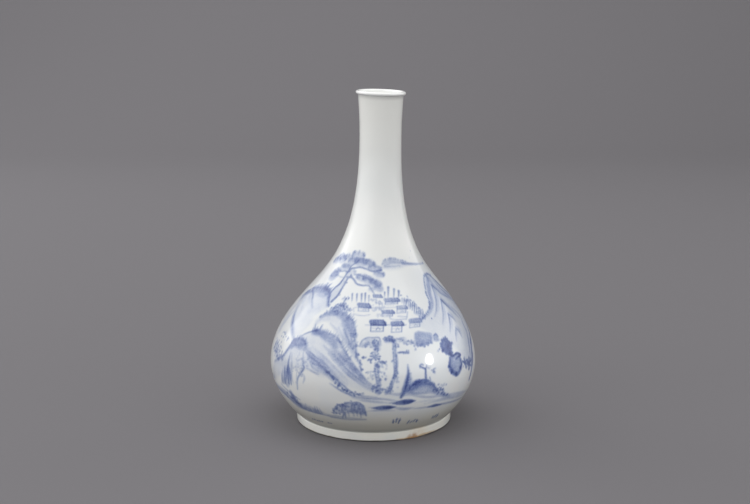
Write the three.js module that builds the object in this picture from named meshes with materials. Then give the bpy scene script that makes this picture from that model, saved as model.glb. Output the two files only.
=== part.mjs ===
// A tall-necked porcelain bottle, thrown and turned as one piece: a foot ring, a low round belly,
// a sloping shoulder, a slim neck and a rolled lip. It is hollow and open at the mouth.
// Millimetres, +Z up, the origin under the middle of the belly on the plane that the foot stands on.
import * as THREE from "three";

// The whole height, to the top of the lip
const HEIGHT = 350;

// The foot ring and the base that it carries
const FOOT_RADIUS = 83; // outside of the ring
const FOOT_HEIGHT = 9.5; // from the ground to the crease under the belly
const FOOT_LEDGE = 0.7; // how far the ring stands out from the belly at the crease
const FOOT_BEVEL = 1.2; // the turned edges of the ring
const FOOT_RING_WIDTH = 7; // the unglazed band that it stands on
const FOOT_RECESS = 6; // how far the base lies above the ground
const BASE_THICKNESS = 7;

// The outside of the body: the widest place, the place where the curve turns hollow, the slimmest place
const BELLY_RADIUS = 109.6;
const BELLY_HEIGHT = 65.7;
const SHOULDER_RADIUS = 57.6;
const SHOULDER_HEIGHT = 160.4;
const SHOULDER_SLOPE = 51.9; // degrees above the level
const NECK_RADIUS = 22.05;
const NECK_HEIGHT = 300.5;
const MOUTH_RADIUS = 23.7; // just under the lip

// How the belly leaves the foot, in degrees above the level
const FOOT_SLOPE = 41.5;

// How full each stretch of the outline is: the reach of the curve's handle, as a share of that stretch's height
const FULL_ABOVE_FOOT = 0.3;
const FULL_UNDER_BELLY = 0.43;
const FULL_OVER_BELLY = 0.405;
const FULL_UNDER_SHOULDER = 0.264;
const FULL_OVER_SHOULDER = 0.258;
const FULL_UNDER_NECK = 0.528;
const FULL_OVER_NECK = 0.593;
const FULL_UNDER_LIP = 0.11;

// The rolled lip
const LIP_ROLL = 1.9; // radius of the roll
const LIP_OVERHANG = 2.4; // how far it stands out from the neck under it
const MOUTH_FLARE = 14; // how far down the inside opens out

// The wall, measured square to the outside
const BELLY_WALL = 6.5;
const NECK_WALL = 3.6;

// The bowl of the inside: the reach of its two handles, as shares of its width and height
const BOWL_FLATNESS = 0.72;
const BOWL_FULLNESS = 0.5;

// The hand-thrown form: the neck leans to +X, the foot sits a little to +X, the lip drops towards +X
const NECK_LEAN = 8.2;
const LEAN_START = 85; // how far above the belly the lean has fully set in
const FOOT_SHIFT = 1.0;
const LIP_DROP = 0.8; // from one side of the lip to the other

// Facets: the sides of the turned form, and the steps of each stretch of its outline
const SIDES = 64;
const STEPS_BELOW_BELLY = 7;
const STEPS_TO_SHOULDER = 8;
const STEPS_TO_NECK = 8;
const STEPS_TO_MOUTH = 3;
const STEPS_ROUND_LIP = 6;
const STEPS_INSIDE_MOUTH = 3;
const STEPS_INSIDE_NECK = 5;
const STEPS_INSIDE_SHOULDER = 5;
const STEPS_IN_BOWL = 7;

const radians = THREE.MathUtils.degToRad;
const point = (radius, height) => new THREE.Vector2(radius, height);
const ahead = (from, degrees, reach) =>
  point(from.x + reach * Math.cos(radians(degrees)), from.y + reach * Math.sin(radians(degrees)));

// The four curves of the outside, from the crease at the foot up to the lip.
function outsideCurves() {
  const crease = point(FOOT_RADIUS - FOOT_LEDGE, FOOT_HEIGHT);
  const belly = point(BELLY_RADIUS, BELLY_HEIGHT);
  const shoulder = point(SHOULDER_RADIUS, SHOULDER_HEIGHT);
  const neck = point(NECK_RADIUS, NECK_HEIGHT);
  const mouth = point(MOUTH_RADIUS, HEIGHT - 2 * LIP_ROLL);
  const toBelly = belly.y - crease.y;
  const toShoulder = shoulder.y - belly.y;
  const toNeck = neck.y - shoulder.y;
  const toMouth = mouth.y - neck.y;
  const backwards = 180 - SHOULDER_SLOPE;
  return {
    below: new THREE.CubicBezierCurve(
      crease,
      ahead(crease, FOOT_SLOPE, FULL_ABOVE_FOOT * toBelly),
      ahead(belly, 90, -FULL_UNDER_BELLY * toBelly),
      belly,
    ),
    above: new THREE.CubicBezierCurve(
      belly,
      ahead(belly, 90, FULL_OVER_BELLY * toShoulder),
      ahead(shoulder, backwards, -FULL_UNDER_SHOULDER * toShoulder),
      shoulder,
    ),
    hollow: new THREE.CubicBezierCurve(
      shoulder,
      ahead(shoulder, backwards, FULL_OVER_SHOULDER * toNeck),
      ahead(neck, 90, -FULL_UNDER_NECK * toNeck),
      neck,
    ),
    flare: new THREE.CubicBezierCurve(
      neck,
      ahead(neck, 90, FULL_OVER_NECK * toMouth),
      ahead(mouth, 90, -FULL_UNDER_LIP * toMouth),
      mouth,
    ),
  };
}

// The foot ring, from the middle of the base's underside round the ring to the crease.
function footPoints() {
  const inner = FOOT_RADIUS - FOOT_RING_WIDTH;
  return [
    point(0, FOOT_RECESS),
    point(inner - 2 * FOOT_BEVEL, FOOT_RECESS),
    point(inner - FOOT_BEVEL, FOOT_RECESS - FOOT_BEVEL),
    point(inner, 0),
    point(FOOT_RADIUS - FOOT_BEVEL, 0),
    point(FOOT_RADIUS, FOOT_BEVEL),
    point(FOOT_RADIUS, FOOT_HEIGHT - FOOT_LEDGE),
  ];
}

const lipRadius = MOUTH_RADIUS + LIP_OVERHANG - LIP_ROLL;
const lipHeight = HEIGHT - LIP_ROLL;

// The roll of the lip, from under its outer side over the top to its inner side.
function lipPoints() {
  const start = -60;
  const end = 180;
  return Array.from({ length: STEPS_ROUND_LIP + 1 }, (_, i) =>
    ahead(point(lipRadius, lipHeight), start + ((end - start) * i) / STEPS_ROUND_LIP, LIP_ROLL),
  );
}

// The wall's thickness at a height: it thins from the belly to the neck, and thins again inside the lip.
function wallAt(height) {
  const up = THREE.MathUtils.clamp((height - BELLY_HEIGHT) / (NECK_HEIGHT - BELLY_HEIGHT), 0, 1);
  const wall = THREE.MathUtils.lerp(BELLY_WALL, NECK_WALL, up);
  const atLip = MOUTH_RADIUS - (lipRadius - LIP_ROLL);
  return THREE.MathUtils.lerp(wall, atLip, THREE.MathUtils.smoothstep(height, HEIGHT - MOUTH_FLARE, lipHeight));
}

// A curve of the outside moved in by the wall, from its top down.
function insideOf(curve, steps) {
  return Array.from({ length: steps + 1 }, (_, i) => {
    const share = 1 - i / steps;
    const outside = curve.getPoint(share);
    const along = curve.getTangent(share);
    const wall = wallAt(outside.y);
    return point(outside.x - wall * along.y, outside.y + wall * along.x);
  });
}

// The round bottom of the inside, from the height of the belly down to the axis.
function bowlPoints(rim) {
  const floor = FOOT_RECESS + BASE_THICKNESS;
  return new THREE.CubicBezierCurve(
    rim,
    point(rim.x, rim.y - BOWL_FULLNESS * (rim.y - floor)),
    point(BOWL_FLATNESS * rim.x, floor),
    point(0, floor),
  ).getPoints(STEPS_IN_BOWL);
}

// The whole outline, from the axis under the base round the outside and inside to the axis on the floor.
function outline() {
  const { below, above, hollow, flare } = outsideCurves();
  const outside = [
    ...below.getPoints(STEPS_BELOW_BELLY),
    ...above.getPoints(STEPS_TO_SHOULDER).slice(1),
    ...hollow.getPoints(STEPS_TO_NECK).slice(1),
    ...flare.getPoints(STEPS_TO_MOUTH).slice(1),
  ];
  const inside = [
    ...insideOf(flare, STEPS_INSIDE_MOUTH).slice(1),
    ...insideOf(hollow, STEPS_INSIDE_NECK).slice(1),
    ...insideOf(above, STEPS_INSIDE_SHOULDER).slice(1),
  ];
  const bowl = bowlPoints(inside[inside.length - 1]).slice(1);
  return [...footPoints(), ...outside, ...lipPoints(), ...inside, ...bowl];
}

// Where the middle of the turned form lies at a height: bent to +X above the belly, and a little below it.
function leanAt(height) {
  if (height < BELLY_HEIGHT) return FOOT_SHIFT * (1 - height / BELLY_HEIGHT) ** 2;
  const up = Math.min((height - BELLY_HEIGHT) / (HEIGHT - BELLY_HEIGHT), 1);
  const started = THREE.MathUtils.smoothstep(height, BELLY_HEIGHT, BELLY_HEIGHT + LEAN_START);
  return NECK_LEAN * started * Math.sin((up * Math.PI) / 2);
}

// Bends the turned form as the thrown one is: the lean first, then the drop across the lip.
function lean(geometry) {
  const place = geometry.getAttribute("position");
  for (let i = 0; i < place.count; i++) {
    const height = place.getZ(i);
    const nearLip = THREE.MathUtils.smoothstep(height, NECK_HEIGHT, HEIGHT);
    const drop = (LIP_DROP * nearLip * place.getX(i)) / (2 * (lipRadius + LIP_ROLL));
    place.setX(i, place.getX(i) + leanAt(height));
    place.setZ(i, height - drop);
  }
  geometry.computeVertexNormals();
  return geometry;
}

function porcelain() {
  return new THREE.MeshStandardMaterial({ color: 0xdfe4e2, roughness: 0.12, metalness: 0 });
}

function bottle() {
  const turned = new THREE.LatheGeometry(outline(), SIDES).rotateX(Math.PI / 2);
  const mesh = new THREE.Mesh(lean(turned), porcelain());
  mesh.name = "bottle";
  return mesh;
}

const model = new THREE.Group();
model.add(bottle());

export default model;
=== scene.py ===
"""A tall-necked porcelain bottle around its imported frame: the thrown body, its glaze, the blue
landscape painted under the glaze, and the bare worn foot, on a plain studio floor. Metres, +Z up, the
painted front towards -Y."""
import math

import bpy
import numpy as np
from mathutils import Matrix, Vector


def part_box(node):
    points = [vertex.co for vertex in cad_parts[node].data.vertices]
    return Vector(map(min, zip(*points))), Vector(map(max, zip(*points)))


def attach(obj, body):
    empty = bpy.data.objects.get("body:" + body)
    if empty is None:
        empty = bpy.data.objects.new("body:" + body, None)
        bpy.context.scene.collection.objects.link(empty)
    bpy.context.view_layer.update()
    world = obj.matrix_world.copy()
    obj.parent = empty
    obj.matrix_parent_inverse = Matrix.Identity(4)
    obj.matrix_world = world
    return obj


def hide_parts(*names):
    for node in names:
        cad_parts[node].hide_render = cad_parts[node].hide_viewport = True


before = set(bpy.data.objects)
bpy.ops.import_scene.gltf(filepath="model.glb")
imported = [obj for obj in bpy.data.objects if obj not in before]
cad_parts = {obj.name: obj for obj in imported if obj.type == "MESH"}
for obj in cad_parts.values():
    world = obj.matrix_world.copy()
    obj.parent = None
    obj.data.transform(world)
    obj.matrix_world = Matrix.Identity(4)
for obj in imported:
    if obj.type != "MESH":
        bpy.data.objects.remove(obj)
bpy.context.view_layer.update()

bl_info = {
    "name": "Blue and White Porcelain Bottle",
    "version": (1, 0, 0),
    "blender": (4, 5, 0),
    "location": "3D View > Sidebar > Bottle",
    "description": "Throws, paints and glazes a porcelain bottle around its packed frame, and sets a studio",
    "category": "Add Mesh",
}

NODE = "bottle"
PIECE = "porcelain_bottle"
SLOT = "glazed_porcelain"
LOW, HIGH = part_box(NODE)
MM = 0.001

# The steps that the outline's curves, bends, straight parts and rounded edges are made of
CURVE_STEPS = 400
BEND_STEPS = 60
STRAIGHT_STEPS = 30
ROUND_STEPS = 40

# The mesh: so many of the coarsest cells go round, each this long up the outline. A cell is halved up
# to FINEST times, where the ink in it differs by more than its level's SPLIT_AT. The painted cells
# start at the foot's crease
CELLS_ROUND = 72
CELL_RUN = 9.6 * MM
FINEST = 4
SPOTS_PER_CELL = 3
PAINTED_CELLS = 24
SPLIT_AT = (0.0, 0.0, 0.1, 0.22)

# The brush: the spacing of a stroke's and a wash's points, how many points are laid at a time, how
# unevenly the brush is loaded, how wide a wash's pooled rim is, and how much ink a stroke adds to one
# that it crosses
STROKE_STEP = 1.4
WASH_STEP = 3.0
POINTS_AT_A_TIME = 12
LOADED = (0.88, 1.1)
RIM_WIDTH = 1.1
BUILD_UP = 0.25

# The cobalt: the strongest ink that the colour goes up to, and the stops of its scale
FULL_INK = 1.3
INK_STOPS = 7

# Marks on the glaze: x, y, z and radius in metres, and the softness of the edge
PITS = ((0.0066, -0.0208, 0.2745, 0.0007), (0.0318, -0.0248, 0.190, 0.0008))
STAINS = ((0.0385, -0.0740, 0.0012, 0.0034, 0.6), (0.0425, -0.0718, 0.0022, 0.0034, 0.6))
SMEAR = (0.0475, -0.0690, 0.0046, 0.009, 0.8)
BURN = (0.045, -0.0705, 0.002, 0.024, 0.5)
RELIEF = 0.05 * MM

# The studio: each lamp's place, the place that it is turned to, its width and its height. The round one
# has no height, and a narrow beam in degrees
MIDDLE = (0.0, 0.0, 0.2)
LAMPS = {
    "overhead": ((0.0, 0.0, 2.2), MIDDLE, 3.6, 3.2),
    "left_front": ((-1.9, -1.7, 1.5), MIDDLE, 2.4, 2.2),
    "left_side": ((-2.5, -0.2, 1.5), MIDDLE, 2.6, 2.4),
    "left_back": ((-1.9, 1.5, 1.6), MIDDLE, 2.0, 2.0),
    "right_back": ((1.9, 1.5, 1.6), MIDDLE, 2.0, 2.0),
    "backdrop": ((-0.9, 1.6, 2.4), (-0.9, 4.0, 0.9), 3.0, 0.8),
    "round_lamp": ((0.5045, -0.2819, 0.2053), (0.0576, -0.0908, 0.0879), 0.1, None),
}
ROUND_SPREAD = 16
PAPER_BEND_STEPS = 24


def length(name, description, default, **more):
    """A length in metres that a user can change."""
    return bpy.props.FloatProperty(
        name=name, description=description, default=default, min=0, unit="LENGTH", precision=5, **more
    )


def share(name, description, default, **more):
    """A share from 0 to 1 that a user can change."""
    return bpy.props.FloatProperty(
        name=name, description=description, default=default, min=0, max=1, subtype="FACTOR", **more
    )


def colour(name, description, default):
    """A colour, in linear light, that a user can change."""
    return bpy.props.FloatVectorProperty(
        name=name, description=description, default=default, size=3, min=0, max=1, subtype="COLOR"
    )


def number(name, description, default, **more):
    """A plain number that a user can change."""
    return bpy.props.FloatProperty(name=name, description=description, default=default, min=0, **more)


def whole(name, description, default, **more):
    """A whole number that a user can change."""
    return bpy.props.IntProperty(name=name, description=description, default=default, min=0, **more)


def angle(name, description, degrees):
    """An angle that a user can change."""
    return bpy.props.FloatProperty(
        name=name, description=description, default=math.radians(degrees), subtype="ANGLE"
    )


def power(name, description, default):
    """A lamp's power, in watts."""
    return number(name, description, default, unit="POWER")


class BottleForm(bpy.types.PropertyGroup):
    """The sizes of the thrown and turned body"""

    height: length("Height", "From the ground to the top of the lip", round(HIGH.z, 3))
    belly_radius: length("Belly Radius", "Radius at the widest place", (HIGH.x - LOW.x) / 2)
    belly_height: length("Belly Height", "Height of the widest place", 65.7 * MM)
    foot_radius: length("Foot Radius", "Outside of the foot ring", 83 * MM)
    foot_height: length("Foot Height", "From the ground to the crease under the belly", 9.5 * MM)
    foot_ledge: length("Foot Ledge", "How far the ring stands out at the crease", 0.7 * MM)
    foot_bevel: length("Foot Bevel", "Roundness of the ring's edges", 1.2 * MM)
    foot_ring: length("Foot Ring", "Width of the ring", 7 * MM)
    foot_recess: length("Foot Recess", "How far the base lies above the ground", 6 * MM)
    foot_slope: angle("Foot Slope", "Slope of the belly above the crease", 41.5)
    base: length("Base", "Thickness of the base", 7 * MM)
    shoulder_radius: length("Shoulder Radius", "Radius where the curve turns hollow", 57.6 * MM)
    shoulder_height: length("Shoulder Height", "Height where the curve turns hollow", 160.4 * MM)
    shoulder_slope: angle("Shoulder Slope", "Slope of the shoulder", 51.9)
    neck_radius: length("Neck Radius", "Radius at the slimmest place", 22.05 * MM)
    neck_height: length("Neck Height", "Height of the slimmest place", 300.5 * MM)
    mouth_radius: length("Mouth Radius", "Radius just under the lip", 23.7 * MM)
    lip_roll: length("Lip Roll", "Radius of the rolled lip", 1.9 * MM)
    lip_overhang: length("Lip Overhang", "How far the lip stands out", 2.4 * MM)
    mouth_flare: length("Mouth Flare", "How far down the inside opens out", 14 * MM)
    belly_wall: length("Belly Wall", "Wall at the belly", 6.5 * MM)
    neck_wall: length("Neck Wall", "Wall in the neck", 3.6 * MM)
    fullness: bpy.props.FloatVectorProperty(
        name="Fullness",
        description="Reach of the outline's handles from the foot up, as shares of each stretch's height",
        default=(0.3, 0.43, 0.405, 0.264, 0.258, 0.528, 0.593, 0.11),
        size=8,
        subtype="NONE",
    )
    bowl: bpy.props.FloatVectorProperty(
        name="Bowl",
        description="Flatness and fullness of the inside's round bottom",
        default=(0.72, 0.5),
        size=2,
    )
    lean: length("Lean", "How far the lip stands off the belly's axis, to +X", 8.2 * MM)
    lean_start: length("Lean Start", "How far above the belly the lean has fully set in", 85 * MM)
    foot_shift: length("Foot Shift", "How far the foot sits off the belly's axis, to +X", 1.0 * MM)
    lip_drop: length("Lip Drop", "How far the lip drops from one side to the other", 1.8 * MM)
    ring_depth: length("Ring Depth", "Unevenness that the potter's fingers left", 0.22 * MM)
    ring_spacing: length("Ring Spacing", "Spacing of the throwing rings", 17 * MM)
    warp: length("Warp", "How far the body is out of round", 0.3 * MM)
    seed: whole("Seed", "Picks the pattern of the throwing rings", 4)


class BottlePaint(bpy.types.PropertyGroup):
    """The blue painting under the glaze"""

    cobalt: colour("Cobalt", "What the painting at its full strength lets through", (0.1, 0.146, 0.38))
    strength: number("Strength", "Strength of the painting", 1.0, max=2)
    haze: share("Haze", "Cobalt that has spread thinly through the glaze between the strokes", 0.065)
    mottle: share("Mottle", "How unevenly the cobalt has fired", 0.18)
    runs: whole("Runs", "How far the cobalt runs in the glaze", 8, max=30)
    seed: whole("Seed", "Picks the places of the brush marks", 7)


class BottleGlaze(bpy.types.PropertyGroup):
    """The glaze, the bare foot, the marks of the kiln, and the light and shade painted on the body"""

    white: colour("White", "Glazed porcelain", (0.87, 0.88, 0.862))
    cool: colour("Cool Tint", "Where the glaze lies thick", (0.81, 0.86, 0.86))
    warm: colour("Warm Tint", "Where the body shows through", (0.885, 0.865, 0.79))
    # Lip: painted light, lightening the top of the lip where light from above falls on it
    lip: colour("Lip", "Where the glaze is thick on the lip", (0.96, 0.965, 0.95))
    # Belly: a creamier tone below the shoulder that also darkens the body against the neck, partly painted
    # shade
    belly: colour("Belly", "Where the glaze thins over the belly", (0.795, 0.8, 0.77))
    # Shade: painted shade low on the belly and under it, where little light reaches
    shade: colour("Shade", "Low on the belly, where the glaze is dull", (0.44, 0.43, 0.38))
    # Pool: painted shade in the crease above the foot
    pool: colour("Pool", "Where the glaze pools in the crease above the foot", (0.27, 0.28, 0.26))
    bare: colour("Bare Body", "Unglazed porcelain of the foot's rim", (0.62, 0.58, 0.51))
    grit: colour("Grit", "Grit that stuck to the bare rim", (0.40, 0.35, 0.29))
    # Dirt: a painted contact shadow, the near-black line along the bottom of the foot where it meets the
    # floor
    contact_shadow: colour("Dirt", "The line of dirt where the foot stands", (0.04, 0.036, 0.032))
    burn: colour("Burn", "Scorched edge of the glaze at the stain", (0.56, 0.38, 0.2))
    smear: colour("Smear", "The stain's pale end", (0.70, 0.50, 0.27))
    stain: colour("Kiln Stain", "Orange-brown stain on the foot ring", (0.38, 0.17, 0.04))
    speck: colour("Speck", "Iron specks", (0.05, 0.05, 0.06))
    roughness: share("Roughness", "Roughness under the glaze", 0.32)


class BottleStage(bpy.types.PropertyGroup):
    """The camera, the floor and the lights"""

    distance: length("Distance", "From the bottle's axis to the camera", 1.3071)
    eye: length("Eye Height", "Height of the camera", 0.4473)
    aside: length("Aside", "How far the camera stands to the right", 0.0022)
    pitch: angle("Pitch", "How far the camera looks down", 11.53)
    lens: number("Lens", "Focal length in millimetres", 60.68)
    floor: colour("Floor", "Paper of the floor and backdrop", (0.183, 0.176, 0.186))
    overhead: power("Overhead", "Power of the overhead softbox", 31)
    left_front: power("Left Front", "Power of the softbox at the left in front", 6.0)
    left_side: power("Left Side", "Power of the softbox at the left side", 5.2)
    left_back: power("Left Back", "Power of the softbox at the left behind", 10.3)
    right_back: power("Right Back", "Power of the softbox at the right behind", 0.7)
    backdrop: power("Backdrop", "Power of the softbox that lights the backdrop", 24)
    round_lamp: power("Round", "Power of the small round lamp", 0.0075)
    walls: number("Walls", "Light that comes in from the room's walls", 1.26)
    ceiling: number("Ceiling", "Light that comes down from the ceiling", 0.52)


# The outline: (radius, height) places in metres, from the middle of the underside to the middle of the
# inside


def bezier(a, b, c, d, steps):
    """Places along a Bezier curve with ends a and d and handles b and c."""
    t = np.linspace(0, 1, steps + 1)[:, None]
    a, b, c, d = (np.array(p, float) for p in (a, b, c, d))
    return (1 - t) ** 3 * a + 3 * (1 - t) ** 2 * t * b + 3 * (1 - t) * t**2 * c + t**3 * d


def arc(centre, radius, start, end, steps):
    """Places along an arc, with its angles in degrees above the outward direction."""
    angles = np.radians(np.linspace(start, end, steps + 1))
    return np.array(centre) + radius * np.stack([np.cos(angles), np.sin(angles)], axis=1)


def ahead(place, slope, reach):
    """The place at a reach from another, in a direction given in radians above the outward one."""
    return (place[0] + reach * math.cos(slope), place[1] + reach * math.sin(slope))


def outside_stretches(form):
    """The four curves from the crease at the foot up to the lip."""
    crease = (form.foot_radius - form.foot_ledge, form.foot_height)
    belly = (form.belly_radius, form.belly_height)
    shoulder = (form.shoulder_radius, form.shoulder_height)
    neck = (form.neck_radius, form.neck_height)
    mouth = (form.mouth_radius, form.height - 2 * form.lip_roll)
    to_belly, to_shoulder = belly[1] - crease[1], shoulder[1] - belly[1]
    to_neck, to_mouth = neck[1] - shoulder[1], mouth[1] - neck[1]
    full = form.fullness
    up = math.pi / 2
    back = math.pi - form.shoulder_slope
    handles = (
        (crease, form.foot_slope, full[0] * to_belly, belly, up, full[1] * to_belly),
        (belly, up, full[2] * to_shoulder, shoulder, back, full[3] * to_shoulder),
        (shoulder, back, full[4] * to_neck, neck, up, full[5] * to_neck),
        (neck, up, full[6] * to_mouth, mouth, up, full[7] * to_mouth),
    )
    return [
        bezier(start, ahead(start, slope, reach), ahead(end, end_slope, -end_reach), end, CURVE_STEPS)
        for start, slope, reach, end, end_slope, end_reach in handles
    ]


def smoothstep(value, start, end):
    """0 before start, 1 after end, and smooth between them."""
    t = np.clip((value - start) / (end - start), 0, 1)
    return t * t * (3 - 2 * t)


def inside_stretches(form, outside):
    """The outside moved in by the wall, from the lip down to the belly, and the inside's round bottom."""
    lip_radius = form.mouth_radius + form.lip_overhang - form.lip_roll
    moved = []
    for places in reversed(outside[1:]):
        places = places[::-1]
        along = np.gradient(places, axis=0)
        along /= np.hypot(*along.T)[:, None]
        up = np.clip((places[:, 1] - form.belly_height) / (form.neck_height - form.belly_height), 0, 1)
        wall = form.belly_wall + (form.neck_wall - form.belly_wall) * up
        at_lip = form.mouth_radius - (lip_radius - form.lip_roll)
        near_lip = smoothstep(places[:, 1], form.height - form.mouth_flare, form.height - form.lip_roll)
        wall = (wall + (at_lip - wall) * near_lip)[:, None]
        moved.append(places + wall * np.stack([along[:, 1], -along[:, 0]], axis=1))
    rim = moved[-1][-1]
    floor = form.foot_recess + form.base
    flat, full = form.bowl
    handles = (rim[0], rim[1] - full * (rim[1] - floor)), (flat * rim[0], floor)
    return moved, bezier(rim, *handles, (0, floor), CURVE_STEPS)


def foot_stretches(form):
    """The underside and the foot ring, with its edges rounded by the turner's knife: each stretch's
    places, its coarsest rows and the least it is halved."""
    bevel = form.foot_bevel
    recess = form.foot_recess
    outer = form.foot_radius
    inner = outer - form.foot_ring
    corner = inner - 2 * bevel
    top = form.foot_height - form.foot_ledge
    crease = (outer - form.foot_ledge, form.foot_height)
    hollow = bezier(
        (corner, recess),
        (inner - bevel, recess),
        (inner - bevel, recess - 0.6 * bevel),
        (inner - 0.9 * bevel, recess - 2 * bevel),
        BEND_STEPS,
    )
    inner_edge = bezier(
        (inner, 0.35 * bevel),
        (inner + 0.04 * bevel, 0),
        (inner + 0.1 * bevel, 0),
        (inner + 0.4 * bevel, 0),
        STRAIGHT_STEPS,
    )
    ledge = bezier(
        (outer, top - 0.5 * bevel),
        (outer, top + 0.3 * bevel),
        (crease[0] + 0.1 * bevel, crease[1] - 0.3 * bevel),
        crease,
        BEND_STEPS,
    )
    return [
        (np.linspace((0, recess), (corner, recess), ROUND_STEPS), 7, 0),
        (hollow, 2, 0),
        (np.linspace(hollow[-1], inner_edge[0], STRAIGHT_STEPS), 1, 0),
        (inner_edge, 1, 0),
        (np.linspace(inner_edge[-1], (outer - bevel, 0), STRAIGHT_STEPS), 1, 0),
        (arc((outer - bevel, bevel), bevel, -90, 0, ROUND_STEPS), 2, 1),
        (np.linspace((outer, bevel), ledge[0], STRAIGHT_STEPS), 1, 1),
        (ledge, 2, 1),
    ]


def outline(form):
    """The whole outline as such stretches, and how many of them belong to the foot."""
    outside = outside_stretches(form)
    (mouth, neck, shoulder), bowl = inside_stretches(form, outside)
    lip_radius = form.mouth_radius + form.lip_overhang - form.lip_roll
    lip = arc((lip_radius, form.height - form.lip_roll), form.lip_roll, -60, 180, 4 * ROUND_STEPS)
    top = outside[-1][-1]
    under = bezier(top, top + (0.2 * MM, 0.5 * MM), lip[0] - (0.6 * MM, 0.1 * MM), lip[0], STRAIGHT_STEPS)
    body = np.vstack([outside[0], *(places[1:] for places in outside[1:])])
    foot = foot_stretches(form)
    rows = [round(run_of(places)[-1] / CELL_RUN) for places in (body, neck, shoulder, bowl)]
    stretches = [*foot, (body, rows[0], 1), (under, 1, 1), (lip, 6, 1)]
    stretches += [
        (np.vstack([lip[-1:], mouth[1:]]), 5, 1),
        (neck, rows[1], 0),
        (shoulder, rows[2], 0),
        (bowl, rows[3], 0),
    ]
    return stretches, len(foot)


def run_of(places):
    """How far along a line each of its places lies."""
    return np.concatenate([[0], np.cumsum(np.hypot(*np.diff(places, axis=0).T))])


def smooth_path(points, step):
    """A rounded line through a few (turn, height) places, with a point about every step."""
    places = np.array(points, float)
    if len(places) < 2:
        return places
    ends = np.vstack([2 * places[0] - places[1], places, 2 * places[-1] - places[-2]])
    path = [places[:1]]
    for before, start, end, after in zip(ends, ends[1:], ends[2:], ends[3:]):
        count = max(1, int(math.ceil(np.hypot(*(end - start)) / step)))
        t = np.linspace(0, 1, count + 1)[1:, None]
        path.append(
            0.5 * (
                2 * start
                + (end - before) * t
                + (2 * before - 5 * start + 4 * end - after) * t**2
                + (3 * start - before - 3 * end + after) * t**3
            )
        )
    return np.vstack(path)


def spread(value, count):
    """One number, or a few numbers spread evenly along count places."""
    values = np.atleast_1d(np.array(value, float))
    return np.interp(np.linspace(0, 1, count), np.linspace(0, 1, len(values)), values)


def depth_in_stroke(across, up, places, halves, inks):
    """How deep each spot lies within a stroke, which is its half width there less the spot's distance
    from its middle line, and the stroke's ink there."""
    if len(places) == 1:
        return halves[0] - np.hypot(across - places[0][0], up - places[0][1]), inks[0]
    depth = np.full(across.shape, -np.inf)
    tone = np.zeros(across.shape)
    for i, ((ax, ay), (bx, by)) in enumerate(zip(places, places[1:])):
        dx, dy = bx - ax, by - ay
        share = np.clip(((across - ax) * dx + (up - ay) * dy) / max(dx * dx + dy * dy, 1e-9), 0, 1)
        away = np.hypot(across - ax - share * dx, up - ay - share * dy)
        here = halves[i] + (halves[i + 1] - halves[i]) * share - away
        tone = np.where(here > depth, inks[i] + (inks[i + 1] - inks[i]) * share, tone)
        depth = np.maximum(depth, here)
    return depth, tone


def inside_outline(across, up, places):
    """Whether each spot lies inside a closed outline."""
    inside = np.zeros(across.shape, bool)
    for (ax, ay), (bx, by) in zip(places, np.roll(places, -1, axis=0)):
        if ay == by:
            continue
        crosses = ((ay > up) != (by > up)) & (across < (bx - ax) * (up - ay) / (by - ay) + ax)
        inside ^= crosses
    return inside


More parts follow.
